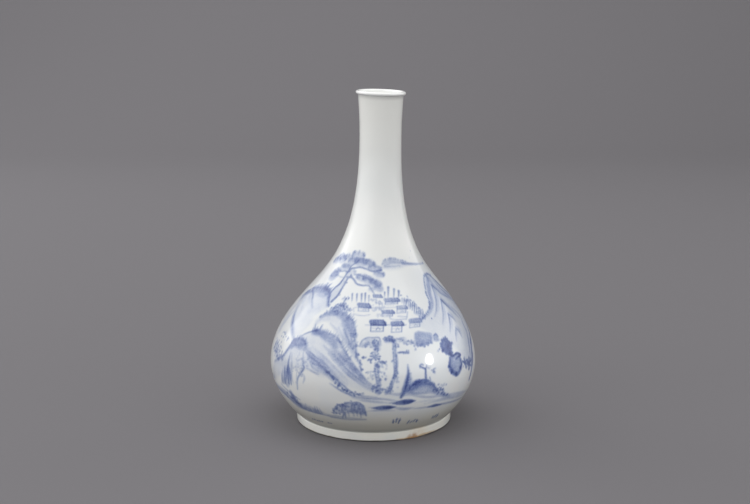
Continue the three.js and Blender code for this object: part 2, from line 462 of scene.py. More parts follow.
class Sheet:
    """The painted outside as a sheet unrolled from the bottle. Columns go once round it from the back,
    rows go up its outline, and a place is (turn, height): degrees round from the front and millimetres
    above the ground."""

    def __init__(self, run, radius, height, columns, seed):
        self.run = run
        self.radius = radius
        self.height = height
        self.step = run[1] - run[0]
        self.columns = columns
        self.line, self.wash, self.wet = np.zeros((3, len(run), columns), np.float32)
        self.random = np.random.default_rng(seed)

    def flat(self, places, middle):
        """Places as millimetres across from the middle meridian and millimetres along the outline."""
        turns, heights = np.array(places, float).T
        radius = np.interp(heights, self.height, self.radius)
        run = np.interp(heights, self.height, self.run)
        return np.stack([np.radians(turns - middle) * radius, run], axis=1)

    def window(self, places, margin):
        """The part of the sheet within a margin of these places: its rows, its columns, its middle
        meridian, and each spot's millimetres across from that meridian and along the outline."""
        turns, heights = np.array(places, float).T
        runs = np.interp(heights, self.height, self.run)
        first = max(int((runs.min() - margin) / self.step), 0)
        last = min(int((runs.max() + margin) / self.step) + 2, len(self.run))
        rows = np.arange(min(first, last - 1), last)
        reach = math.degrees(margin / self.radius[rows].min())
        spacing = 360 / self.columns
        first_column = math.floor((turns.min() - reach + 180) / spacing)
        last_column = math.ceil((turns.max() + reach + 180) / spacing)
        columns = np.arange(first_column, last_column + 1)
        middle = (turns.min() + turns.max()) / 2
        away = np.radians((columns + 0.5) * spacing - 180 - middle)
        across = away * self.radius[rows][:, None]
        up = np.broadcast_to(self.run[rows][:, None], across.shape)
        return rows, columns % self.columns, middle, across, up

    def beside(self, place, right, up):
        """The place some millimetres to the right and up the outline from another."""
        turn, height = place
        run = np.interp(height, self.height, self.run) + up
        there = np.interp(run, self.run, self.height)
        return (turn + math.degrees(right / np.interp(height, self.height, self.radius)), there)

    def upright(self, place, up):
        """The place straight above another, seen from the front, some millimetres further up the
        outline."""
        turn, height = place
        there = self.beside(place, 0, up)[1]
        before, after = (np.interp(h, self.height, self.radius) for h in (height, there))
        sideways = np.clip(before * math.sin(math.radians(turn)) / after, -1, 1)
        return (math.degrees(math.asin(sideways)), there)

    def lay(self, spots, layer):
        """Lets the wet ink dry on a layer, where it builds up a little over ink that is there already."""
        for spot in spots:
            wet, under = self.wet[spot], layer[spot]
            layer[spot] = np.maximum(wet, under) + BUILD_UP * np.minimum(wet, under)
            self.wet[spot] = 0

    def stroke(self, places, width, ink, soft=0.9, layer=None):
        """A brush stroke through the places. Width (millimetres) and ink (0 to 1) are one number, or a
        few spread evenly from the stroke's start to its end."""
        path = smooth_path(places, STROKE_STEP)
        halves = spread(width, len(path)) / 2
        inks = spread(ink, len(path)) * self.random.uniform(*LOADED)
        spots = []
        for start in range(0, max(len(path) - 1, 1), POINTS_AT_A_TIME):
            part = slice(start, start + POINTS_AT_A_TIME + 1)
            rows, columns, middle, across, up = self.window(path[part], halves[part].max() + soft)
            depth, tone = depth_in_stroke(
                across, up, self.flat(path[part], middle), halves[part], inks[part]
            )
            spot = np.ix_(rows, columns)
            self.wet[spot] = np.maximum(self.wet[spot], np.clip(0.5 + depth / soft, 0, 1) * tone)
            spots.append(spot)
        self.lay(spots, self.line if layer is None else layer)

    def dab(self, place, width, ink, soft=0.5):
        """A single touch of the brush's tip."""
        self.stroke([place], width, ink, soft)

    def fill(self, places, ink, soft=1.0, rim=0.0, fade_from=None, reach=10.0, rest=0.0):
        """A wash inside a closed outline. It is darker by rim at its edge, where the colour pools. With
        a line to fade from, it runs out with the distance from that line to a rest of its ink."""
        outline = smooth_path([*places, places[0]], WASH_STEP)[:-1]
        rows, columns, middle, across, up = self.window(outline, soft + 1)
        edge = self.flat(outline, middle)
        inside = inside_outline(across, up, edge)
        near = self.distance(across, up, np.vstack([edge, edge[:1]]))
        near = np.where(inside, near, -near)
        tone = np.clip(0.5 + near / soft, 0, 1) * (ink + rim * np.exp(-np.abs(near) / RIM_WIDTH))
        if fade_from is not None:
            away = self.distance(across, up, self.flat(smooth_path(fade_from, WASH_STEP), middle))
            tone = tone * (rest + (1 - rest) * np.exp(-((away / reach) ** 2)))
        spot = np.ix_(rows, columns)
        self.wet[spot] = tone
        self.lay([spot], self.wash)

    def distance(self, across, up, line):
        """How far each spot lies from a line."""
        none = np.zeros(len(line))
        return -depth_in_stroke(across, up, line, none, none)[0]

    def along(self, places, share):
        """The place at a share of the way along a line, and the line's direction there, in
        millimetres."""
        path = smooth_path(places, STROKE_STEP)
        at = share * (len(path) - 1)
        i = min(int(at), len(path) - 2)
        place = path[i] + (path[i + 1] - path[i]) * (at - i)
        a, b = self.flat([path[i], path[i + 1]], path[i][0])
        return tuple(place), (b - a) / max(np.hypot(*(b - a)), 1e-6)

    def length(self, places):
        """The length of a line on the surface, in millimetres."""
        path = smooth_path(places, STROKE_STEP)
        middle = path[:, 0].mean()
        return float(np.hypot(*np.diff(self.flat(path, middle), axis=0).T).sum())


def tufts(sheet, ridge, tall, ink, gap=1.3, width=0.6, lean=0.0, deep=0.0):
    """Short brush strokes that stand on a ridge like grass and distant pines. They start up to deep
    below it, and lean is how far they tip to the right, as a share of their height."""
    count = max(2, int(sheet.length(ridge) / gap))
    for i in range(count):
        share = (i + sheet.random.uniform(0.1, 0.9)) / count
        place, (_, dy) = sheet.along(ridge, share)
        root = sheet.beside(place, 0, -sheet.random.uniform(0, deep) if deep else 0)
        size = tall * sheet.random.uniform(0.45, 1.15)
        tip = lean + sheet.random.normal(0, 0.22) - 0.35 * dy
        steep = min(abs(dy), 0.8)
        top = sheet.beside(root, size * (tip + 0.9 * steep), size * (1 - 0.55 * steep))
        sheet.stroke([root, top], (width, width * 0.8, width * 0.4), ink * sheet.random.uniform(0.65, 1.1))


def fringe(sheet, line, out, inside, ink, gap=0.8, width=1.1):
    """A ridge's dark edge, with its body to the right of the line's direction: touches side by side,
    each from a pale root inside to a ragged tip that stands out beyond the line."""
    count = max(3, int(sheet.length(line) / gap))
    for i in range(count):
        place, (dx, dy) = sheet.along(line, (i + sheet.random.uniform(0.1, 0.9)) / count)
        high = out * sheet.random.uniform(0.2, 1.3)
        low = inside * sheet.random.uniform(0.35, 1.25)
        tip = sheet.beside(
            place, high * (sheet.random.normal(0, 0.2) - 0.6 * dy), high * (0.45 + 0.55 * abs(dx))
        )
        bend = sheet.beside(place, 0.4 * low * dy, -0.4 * low * dx)
        root = sheet.beside(place, low * (dy + sheet.random.normal(0, 0.12)), -low * dx)
        dark = ink * sheet.random.uniform(0.6, 1.25)
        sheet.stroke(
            [root, bend, place], (1.2 * width, 1.9 * width), (0.15 * dark, 0.7 * dark), 2.4, sheet.wash
        )
        sheet.stroke(
            [bend, place, tip], (0.8 * width, 1.1 * width, 0.6 * width), (0.3 * dark, dark, 0.7 * dark), 1.0
        )


def pad(sheet, place, wide, tall, ink, tilt=0.0):
    """A flat cloud of pine needles: a soft wash, darker lobes along its top and short needles round its
    edge."""
    ends = [sheet.beside(place, side * 0.6 * wide, side * 0.6 * wide * tilt) for side in (-1, 1)]
    blot(
        sheet, [ends[0], sheet.beside(place, 0, 0.2 * tall), ends[1]], (1.2 * tall, 2 * tall, 1.2 * tall),
        0.55 * ink
    )
    lobes = max(3, round(1.1 * wide / tall) + 1)
    for i in range(lobes):
        right = wide * (-0.72 + 1.44 * i / (lobes - 1)) + sheet.random.normal(0, 0.4)
        arch = math.sqrt(max(1 - (right / (1.1 * wide)) ** 2, 0.1))
        lobe = sheet.beside(place, right, tilt * right + 0.45 * tall * arch)
        blot(
            sheet, [lobe], tall * sheet.random.uniform(0.8, 1.4), ink * sheet.random.uniform(0.7, 1.1), 2.2
        )
    for _ in range(int(1.4 * wide)):
        angle = sheet.random.uniform(-0.2, math.pi + 0.2)
        right = wide * 0.9 * math.cos(angle)
        root = sheet.beside(place, right, 0.9 * tall * math.sin(angle) + tilt * right)
        top = sheet.beside(root, 0.8 * math.cos(angle), sheet.random.uniform(0.3, 1.2))
        sheet.stroke([root, top], (1.5, 0.9), ink * sheet.random.uniform(0.6, 0.95), 1.5)


def leaves(sheet, place, wide, tall, count, ink, size=1.0):
    """A loose cluster of leaf dabs, some single and some run together."""
    for _ in range(count):
        spot = sheet.beside(place, sheet.random.normal(0, wide / 2), sheet.random.normal(0, tall / 2))
        end = sheet.beside(spot, sheet.random.normal(0, 0.6) * size, sheet.random.normal(0, 0.6) * size)
        width = size * sheet.random.uniform(0.7, 1.7)
        sheet.stroke([spot, end], width, ink * sheet.random.uniform(0.5, 1.15), 0.9)


def leaves_along(sheet, line, count, loose, ink, size=1.0):
    """Leaf dabs scattered along a line."""
    for i in range(count):
        place, _ = sheet.along(line, (i + sheet.random.uniform(0, 1)) / count)
        leaves(sheet, place, 2 * loose, 2 * loose, 1, ink, size)


def scalloped(sheet, outline, ink, rim):
    """A bush painted as one wash with an uneven scalloped edge, darker where the colour pooled."""
    sheet.fill(outline, ink, 1.8, rim)
    closed = [*outline, outline[0]]
    count = int(sheet.length(closed) / 4.2)
    for i in range(count):
        place, _ = sheet.along(closed, (i + sheet.random.uniform(0.1, 0.9)) / count)
        dark = min(ink + 0.5 * rim, 1) * sheet.random.uniform(0.75, 1.0)
        sheet.stroke([place], sheet.random.uniform(1.2, 3.4), dark, 1.6, sheet.wash)


def blot(sheet, line, width, ink, soft=3.0):
    """A broad wet stroke whose colour spreads softly into the wash around it."""
    sheet.stroke(line, width, ink, soft, sheet.wash)


def house(sheet, place, wide, roof, wall, ink):
    """A thatched house: a roof like a slanted box, darkest at its right end, over an outlined wall with
    a doorway. The place is the middle of the eaves, and wide is half their width."""
    def at(right, up):
        return sheet.upright(sheet.beside(place, right, 0), up)

    eaves = [at(-0.84 * wide, 0), at(wide, -0.2), at(0.62 * wide, roof), at(-1.04 * wide, roof)]
    sheet.fill(eaves, 0.8 * ink, 1.2, 0.2 * ink)
    straws = int(wide * 0.8)
    for i in range(straws):
        right = -0.9 * wide + 1.7 * wide * (i + sheet.random.uniform(0.2, 0.8)) / straws
        slanted = [at(right, 0.4), at(0.9 * right - 0.1 * wide, roof - 0.4)]
        sheet.stroke(slanted, 1.1, ink * sheet.random.uniform(0.45, 0.8), 1.4)
    sheet.stroke([at(-0.8 * wide, 0), at(wide, -0.2)], (0.8, 1.0, 1.4), 1.05 * ink)
    sheet.stroke([at(0.6 * wide, roof), at(0.98 * wide, 0.1)], (1.0, 1.7), 1.15 * ink)
    if wall <= 0:
        return
    post, low = 0.8, 0.26 + 0.3 * ink
    left, right = -0.82 * wide, 0.7 * wide
    sheet.stroke([at(left, 0), at(left, -wall)], post, low)
    sheet.stroke([at(right, 0), at(right, -wall)], 1.2 * post, 1.1 * low)
    sheet.stroke([at(left, -wall), at(right, -wall)], post, low)
    sheet.stroke([at(left, -0.45 * wall), at(right, -0.5 * wall)], 0.7, 0.6 * low)
    door = [at(-0.15 * wide, -0.75 * wall), at(0.05 * wide, -0.4 * wall), at(0.3 * wide, -0.7 * wall)]
    sheet.stroke(door, 0.8, 0.9 * low)


def pole_trees(sheet, first, last, count, tall, ink):
    """A row of bare pole-like trees between two places, tallest in the middle."""
    for i in range(count):
        share = i / max(count - 1, 1)
        foot = np.array(first) + (np.array(last) - np.array(first)) * share
        size = tall * (0.75 + 0.45 * math.sin(math.pi * share)) * sheet.random.uniform(0.85, 1.1)
        top = sheet.upright(foot, size)
        sheet.stroke([foot, top], (0.6, 1.0, 1.5, 0.7), ink * sheet.random.uniform(0.6, 1.0), 1.2)
        leaves(sheet, top, 1.2, 2.4, 2, 0.7 * ink)


def lens(sheet, place, wide, tall, ink):
    """A spit of land in water: a dark stroke that runs out at both ends, with a paler tail at its
    left."""
    left, right = sheet.beside(place, -wide, -0.15 * tall), sheet.beside(place, wide, 0.1 * tall)
    blot(sheet, [left, place, right], (0.5, 1.5 * tall, 2.0 * tall, 1.7 * tall, 0.5), ink, 1.6)
    sheet.stroke(
        [place, sheet.beside(place, 0.75 * wide, 0.1)], (0.8 * tall, 1.3 * tall, 0.5), 1.05 * ink, 1.2
    )
    blot(sheet, [sheet.beside(left, -3, 0.8), sheet.beside(place, 0, 1.2)], (0.6, 1.6), 0.4 * ink, 1.6)


def hill(sheet, ridge, foot, ink, deep):
    """A plain mountain: a pale body, a dark tufted ridge, and folds that run down towards its foot
    line."""
    sheet.fill([*ridge, *reversed(foot)], 0.36 * ink, 4.0, 0.0, ridge, 1.8 * deep, 0.08)
    below = [sheet.beside(place, 0, -0.4 * deep) for place in ridge]
    blot(sheet, below, (0.4 * deep, 0.8 * deep, deep, 0.4 * deep), 0.8 * ink)
    fringe(sheet, ridge, 0.5 * deep, 0.6 * deep, ink, 1.0, 1.2)
    for share in np.linspace(0.15, 0.85, 5):
        top, low = (np.array(sheet.along(line, share)[0]) for line in (ridge, foot))
        blot(
            sheet, [top, (top + low) / 2, 0.3 * top + 0.7 * low], (1.0, 0.6 * deep, 1.5),
            (0.7 * ink, 0.4 * ink, 0.1 * ink)
        )


def marks(sheet, place, count, tall, ink):
    """A row of small marks by the foot, each a slanted touch with a shorter one across it."""
    for i in range(count):
        spot = sheet.beside(place, 3.2 * (i - (count - 1) / 2), sheet.random.normal(0, 0.08 * tall))
        lean, size = sheet.random.uniform(-0.4, 1.1), 0.5 * tall * sheet.random.uniform(0.5, 1.0)
        sheet.stroke(
            [sheet.beside(spot, -lean, -size), sheet.beside(spot, lean, size)], (0.7, 1.2, 0.5), ink
        )
        level, side = sheet.random.uniform(-0.5, 0.5) * size, sheet.random.uniform(0.8, 1.6)
        ends = [sheet.beside(spot, -0.7 * side, level - 0.3), sheet.beside(spot, side, level + 0.25 * size)]
        sheet.stroke(ends, (0.6, 1.2, 0.8), 0.9 * ink)


def paint_old_pine(sheet):
    """The old pine that leans over the valley, with its two boughs and their flat pads of needles."""
    left_edge = [(-44, 148), (-42, 153), (-39, 157), (-37, 163), (-36, 167), (-34, 172)]
    right_edge = [(-38, 141), (-35, 147), (-34, 153), (-33, 158), (-32, 163), (-28, 165)]
    sheet.fill([*left_edge, *reversed(right_edge)], 0.12, 2.0)
    sheet.stroke(left_edge, (2.4, 1.8, 1.5), (0.5, 0.56, 0.5), 1.4)
    sheet.stroke(right_edge, (2.6, 2.0, 1.5), (0.56, 0.56, 0.48), 1.4)
    leaves_along(sheet, right_edge, 12, 1.0, 0.5, 1.0)
    upper = [(-34, 169), (-32, 172), (-27, 173), (-21, 174), (-14, 173), (-5, 171), (5, 172)]
    lower = [(-34, 164), (-28, 164), (-24, 162), (-20, 159), (-14, 158), (-8, 158), (-5, 155), (-2, 151)]
    sheet.stroke(upper, (1.8, 1.6, 1.2), (0.5, 0.58, 0.5), 1.3)
    sheet.stroke(lower, (1.8, 1.6, 1.2), (0.48, 0.52, 0.36), 1.3)
    sheet.stroke([(-26, 167), (-19, 167), (-12, 165), (-5, 163)], (1.2, 1.6, 1.0), 0.36, 1.3)
    sheet.stroke([(-35, 168), (-40, 169), (-45, 168), (-52, 169)], (1.4, 1.2, 0.9), 0.42, 1.2)
    sheet.stroke([(-35, 164), (-41, 163), (-47, 164)], (1.2, 1.0), 0.3, 1.2)
    sheet.stroke([(-35, 171), (-33, 175), (-28, 178), (-24, 182)], (1.6, 1.2, 1.0), 0.46, 1.2)
    for place, wide, tall, tilt, ink in (
        ((-64, 176), 6.4, 4.4, 0.45, 0.5),
        ((-58, 180), 4.4, 4.0, 0.3, 0.4),
        ((-53, 162), 4.0, 6.4, 0.5, 0.5),
        ((-52, 167), 4.6, 3.6, 0.2, 0.34),
        ((-41, 172), 4.4, 4.4, 0.1, 0.36),
        ((-53, 178), 5.6, 5.0, 0.2, 0.42),
        ((-43, 181), 6.0, 4.6, 0.15, 0.4),
        ((-28, 185), 7.4, 4.2, -0.05, 0.46),
        ((-33, 178), 6.4, 5.0, 0.0, 0.44),
        ((-22, 178), 7.0, 5.4, -0.1, 0.52),
        ((-11, 177), 6.6, 5.0, -0.2, 0.38),
        ((-43, 172), 5.4, 4.6, 0.1, 0.32),
        ((-3, 173), 6.6, 4.0, -0.2, 0.42),
        ((2, 168), 5.2, 4.2, -0.3, 0.44),
        ((-31, 168), 6.4, 3.6, 0.0, 0.3),
        ((-15, 164), 7.0, 4.4, -0.1, 0.36),
        ((-8, 162), 7.0, 4.8, -0.4, 0.44),
        ((-1, 159), 5.6, 5.2, -0.5, 0.42),
        ((2, 155), 3.6, 4.2, -0.5, 0.36),
        ((-4, 154), 3.0, 3.4, 0.0, 0.24),
    ):
        pad(sheet, place, wide, tall, 0.78 * ink, tilt)
    blot(sheet, [(-22, 164), (-12, 162), (-3, 158), (2, 155)], (3.0, 7.0, 4.0), 0.1)
    blot(sheet, [(-47, 177), (-34, 180), (-21, 180), (-8, 176), (2, 171)], (5.0, 9.0, 5.0), 0.08)


def paint_far_hills(sheet):
    """The low hills across the water, high up at the right, that end in a long thin spit."""
    top = [(6, 176), (8, 180), (13, 182), (22, 182), (29, 180), (39, 178), (49, 175), (77, 171)]
    base = [(5, 174), (13, 172), (22, 172), (32, 173), (42, 174), (60, 173)]
    sheet.fill([*top, *reversed(base)], 0.15, 3.0, 0.0, top, 6, 0.5)
    blot(sheet, [(8, 178), (15, 180), (24, 179), (33, 178)], (1.5, 3.6, 1.5), 0.22, 2.4)
    fringe(sheet, top[:6], 1.2, 3.0, 0.3, 1.6, 1.2)
    for line in ([(9, 176), (16, 178), (27, 178), (36, 176)], [(9, 175), (18, 175), (29, 175)]):
        sheet.stroke(line, (0.8, 1.6, 0.6), 0.24, 1.6)
    sheet.stroke([(33, 177), (47, 175), (60, 173), (77, 171)], (2.2, 1.9, 1.0), (0.32, 0.3, 0.16), 1.6)
    sheet.dab((74, 172), 2.0, 0.75)
    sheet.dab((55, 187), 1.2, 0.3)
    sheet.dab((48, 181), 1.0, 0.25)


def paint_right_cliff(sheet):
    """The pale cliff at the right: a tufted edge over the valley, and folds like stacked chevrons on
    its side."""
    edge = [(33, 125), (38, 129), (43, 133), (47, 139), (48, 147), (53, 155), (59, 161), (69, 162)]
    slope = [(69, 162), (75, 156), (80, 146), (90, 134), (93, 122), (91, 110), (83, 99), (76, 88)]
    low = [(75, 74), (69, 67), (62, 72), (59, 83), (54, 93), (46, 103), (39, 111), (33, 117), (30, 122)]
    sheet.fill([*edge, *slope[1:], *low], 0.12, 5.0, 0.0, slope, 30, 0.6)
    inner = [(34, 126), (41, 130), (46, 134), (50, 140), (52, 146), (58, 154), (63, 159)]
    blot(sheet, inner, (2.0, 4.0, 5.0, 6.0, 5.0), (0.26, 0.36, 0.34, 0.4, 0.5), 2.6)
    blot(sheet, [(66, 158), (65, 153), (64, 149)], (2, 4, 2), 0.26, 2.6)
    fringe(sheet, edge[:5], 2.4, 1.6, 0.56, 1.3, 1.0)
    fringe(sheet, edge[4:], 1.4, 1.6, 0.4, 1.4, 1.0)
    tufts(sheet, [(59, 161), (69, 161), (74, 158)], 3.6, 0.56, 1.3, 1.0)
    right = [(71, 160), (76, 153), (83, 142), (92, 130), (93, 116), (90, 103)]
    blot(sheet, right, (2.0, 6.0, 8.0, 8.0), (0.3, 0.2, 0.14), 3.0)
    sheet.stroke(slope, (1.4, 1.8, 2.8, 4.4), (0.5, 0.46, 0.6), 1.3)
    sheet.stroke([(83, 97), (76, 86), (73, 76), (70, 64), (68, 54)], (4, 6, 4), (0.6, 0.7, 0.56), 1.6)
    sheet.stroke([(77, 102), (72, 90), (69, 78)], (3, 4, 2), 0.3, 1.6)
    for left, long in (
        (
            [(62, 152), (58, 144), (54, 137), (49, 130), (45, 126)],
            [(62, 152), (66, 147), (69, 142), (77, 136), (86, 128)]
        ),
        ([(62, 138), (57, 130), (54, 124), (50, 118)], [(62, 138), (65, 132), (69, 125), (74, 116)]),
        ([(61, 124), (58, 117), (54, 109)], [(61, 124), (64, 120), (66, 115)]),
        ([(62, 110), (59, 105), (57, 99)], [(62, 110), (64, 106), (65, 100)]),
    ):
        sheet.stroke(left, (2.0, 2.4, 1.4), (0.5, 0.42, 0.34, 0.16), 1.6)
        sheet.stroke(long, (2.4, 3.0, 1.8), (0.5, 0.4, 0.2), 1.8)
        blot(sheet, [sheet.beside(p, 2.6, -1.0) for p in left], (2.0, 5.0, 3.0), (0.26, 0.2, 0.04), 3.0)
        blot(sheet, [sheet.beside(p, 2.4, 1.8) for p in long], (1.5, 4.4, 3.0), (0.3, 0.2, 0.06), 3.0)
    for line in (
        [(72, 154), (74, 146), (82, 137), (89, 125), (91, 115)],
        [(75, 144), (80, 137), (87, 125), (87, 115)],
        [(80, 138), (92, 125), (91, 114), (84, 107)],
        [(72, 127), (78, 116), (75, 105)],
        [(76, 111), (76, 103), (73, 96)],
    ):
        sheet.stroke(line, (1.2, 2.6, 1.6), (0.36, 0.26, 0.12), 1.8)
    sheet.dab((42, 125), 1.2, 1.0, 0.5)


def paint_village(sheet):
    """The village in the valley: rows of thatched houses, bushes and bare trees."""
    for place, wide, tall, ink in (
        ((-26, 145), 3.6, 3.4, 0.46),
        ((-26, 139), 4.4, 3.6, 0.5),
        ((-21, 136), 4.0, 3.0, 0.34),
        ((-2, 146), 4, 2.0, 0.28),
        ((2, 143), 5, 2.4, 0.3),
        ((0, 138), 5, 3, 0.26),
        ((4, 139), 4, 2.4, 0.26),
        ((4, 133), 4, 2.4, 0.22),
        ((26, 144), 4, 3, 0.34),
        ((29, 139), 4, 3, 0.3),
        ((32, 132), 4.5, 4, 0.34),
        ((34, 129), 3.5, 3, 0.34),
    ):
        blot(
            sheet, [sheet.beside(place, -0.5 * wide, 0), sheet.beside(place, 0.5 * wide, 0)], tall,
            0.3 * ink
        )
        leaves(sheet, place, wide, tall, int(wide * 3), ink, 0.9)
    for foot, tall, width in (
        ((-20, 144), 8.0, 1.2),
        ((-16, 144), 8.0, 1.2),
        ((-12, 144), 8.5, 1.4),
        ((-9, 144), 9.5, 1.2),
        ((-6, 144), 7.0, 1.1),
        ((7, 148), 5.6, 1.0),
        ((10, 148), 11.0, 1.6),
        ((15, 148), 8.6, 1.5),
        ((19, 147), 7.4, 1.6),
    ):
        top = sheet.upright(foot, tall)
        sheet.stroke([foot, top], (0.7 * width, width, 1.5 * width), (0.3, 0.44, 0.5), 1.2)
    pole_trees(sheet, (21, 142), (35, 128), 11, 7.5, 0.58)
    for place, wide, roof, wall, ink in (
        ((1, 148), 5.0, 3.0, 0, 0.44),
        ((13, 144), 8.4, 3.8, 2.6, 0.4),
        ((-9, 139), 7.0, 4.6, 4.0, 0.46),
        ((9, 134), 6.8, 3.4, 3.0, 0.42),
        ((20, 137), 6.2, 3.6, 4.2, 0.34),
        ((28, 124), 7.6, 4.4, 4.6, 0.34),
        ((2, 124), 8.2, 5.4, 6.4, 0.76),
        ((15, 123), 6.8, 4.4, 6.6, 0.46),
    ):
        house(sheet, place, wide, roof, wall, ink)
    for line, ink in (
        ([(-6, 124), (8, 124), (21, 123)], 0.3),
        ([(-16, 133), (-9, 132), (-4, 133)], 0.26),
        ([(-16, 135), (-17, 138), (-14, 139)], 0.2),
        ([(-2, 139), (7, 139), (15, 139)], 0.2),
        ([(2, 139), (5, 136), (6, 134)], 0.36),
        ([(11, 134), (11, 129), (22, 128)], 0.26),
        ([(22, 128), (24, 134)], 0.3),
        ([(16, 131), (23, 130)], 0.24),
        ([(3, 145), (5, 141), (4, 137)], 0.22),
    ):
        sheet.stroke(line, 1.0, ink, 1.0)


def paint_back_mountain(sheet):
    """The round mountain at the far left, with tufts on its top and mist at its foot."""
    back = [(-81, 129), (-84, 135), (-81, 140), (-74, 146), (-64, 149), (-53, 151), (-44, 148)]
    inside = [
        (-41, 141), (-39, 136), (-43, 131), (-47, 126), (-46, 120), (-50, 109), (-54, 104), (-65, 114)
    ]
    sheet.fill([*back, *inside], 0.14, 3.5, 0.0, back, 20, 0.5)
    blot(sheet, [(-79, 134), (-79, 139), (-74, 142), (-70, 144)], (3, 6, 4), (0.36, 0.46, 0.4))
    blot(sheet, [(-67, 145), (-60, 147), (-53, 149), (-48, 148)], (4, 6.5, 9, 8), (0.26, 0.4, 0.5))
    blot(sheet, [(-59, 144), (-52, 144), (-47, 145)], (3, 5, 4), 0.3)
    blot(sheet, [(-45, 147), (-42, 142), (-40, 137)], (4, 4.5, 2.5), (0.46, 0.36))
    fringe(sheet, back[1:4], 1.8, 2.8, 0.34, 1.4, 1.1)
    fringe(sheet, back[3:], 5.0, 5.0, 0.5, 1.1, 1.0)
    tufts(sheet, back[3:6], 7.5, 0.56, 1.5, 1.0, 0.1, 2)
    tufts(sheet, [(-58, 149), (-50, 150)], 9, 0.5, 1.3, 1.3, 0.1, 3)
    fringe(sheet, [(-44, 148), (-41, 141), (-38, 136)], 1.6, 2.4, 0.44, 1.1, 1.1)
    sheet.stroke([(-71, 145), (-64, 142), (-59, 137), (-53, 132)], (2.4, 2.4, 1.4), (0.5, 0.42, 0.2), 1.8)
    blot(sheet, [(-71, 143), (-65, 138), (-59, 134)], (2, 4, 2), (0.26, 0.14))
    blot(sheet, [(-73, 136), (-67, 129), (-61, 122)], (3, 5, 3), (0.16, 0.1))
    blot(
        sheet, [(-74, 127), (-71, 121), (-66, 115), (-60, 108), (-55, 102)], (2, 5, 6, 4),
        (0.24, 0.36, 0.26)
    )
    sheet.stroke([(-71, 124), (-67, 117), (-63, 111), (-58, 105)], (1.2, 1.8, 1.2), (0.2, 0.36, 0.2), 1.6)
    blot(sheet, [(-59, 127), (-51, 130), (-46, 134)], (2, 4, 2), 0.1)
    blot(sheet, [(-79, 102), (-80, 110), (-81, 119), (-81, 126)], (8, 10, 9, 4), 0.12, 4.5)
    blot(sheet, [(-77, 109), (-77, 116), (-75, 122)], (3, 5, 3), 0.14)


def paint_middle_ridge(sheet):
    """The ridge before it, with bushes on its top and a steep side down to the valley."""
    middle = [
        (-43, 123), (-41, 126), (-39, 129), (-35, 132), (-29, 134), (-24, 133), (-19, 130), (-15, 126),
        (-13, 120), (-11, 113)
    ]
    inside = [(-6, 83), (-10, 91), (-14, 102), (-19, 112), (-25, 120), (-31, 124), (-38, 123), (-42, 117)]
    sheet.fill([*middle, *inside], 0.12, 3.5, 0.0, middle, 16, 0.6)
    blot(sheet, [(-40, 125), (-37, 129), (-33, 131), (-28, 132)], (2, 4, 5.5), (0.3, 0.42, 0.44))
    blot(
        sheet, [(-28, 132), (-23, 130), (-19, 126), (-16, 121), (-14, 116)], (5.5, 8, 7.5, 4),
        (0.5, 0.5, 0.4), 3.6
    )
    blot(sheet, [(-22, 124), (-18, 119), (-15, 114)], (3, 5, 3), (0.3, 0.2))
    fringe(sheet, middle[1:], 4.0, 3.0, 0.46, 1.2, 1.1)
    right_side = [(-13, 116), (-11, 109), (-10, 102), (-9, 95), (-7, 89), (-6, 82)]
    sheet.stroke(right_side, (1.4, 1.8, 1.2), (0.4, 0.46, 0.34), 1.4)
    leaves_along(sheet, right_side, 26, 1.2, 0.56, 1.2)
    for place, count, ink in (
        ((-30, 137), 16, 0.5), ((-27, 140), 16, 0.46), ((-33, 135), 12, 0.46), ((-23, 137), 16, 0.5)
    ):
        leaves(sheet, place, 6, 3.4, count, ink, 1.1)
        blot(sheet, [place], 5, 0.16)
    for line, width, ink in (
        ([(-20, 119), (-16, 111), (-13, 104), (-9, 96)], 4.0, 0.3),
        ([(-24, 120), (-18, 110), (-13, 101), (-9, 91)], 4.5, 0.14),
        ([(-15, 116), (-13, 108), (-10, 101)], 2.6, 0.3),
        ([(-31, 123), (-25, 118), (-19, 110)], 4.0, 0.12),
    ):
        blot(sheet, line, (0.4 * width, width, 0.5 * width), (ink, ink, 0.4 * ink), 2.6)
        sheet.stroke(
            [sheet.beside(p, 0.8, 0) for p in line], (0.8, 1.2, 0.6), (ink, 1.1 * ink, 0.4 * ink), 1.5
        )


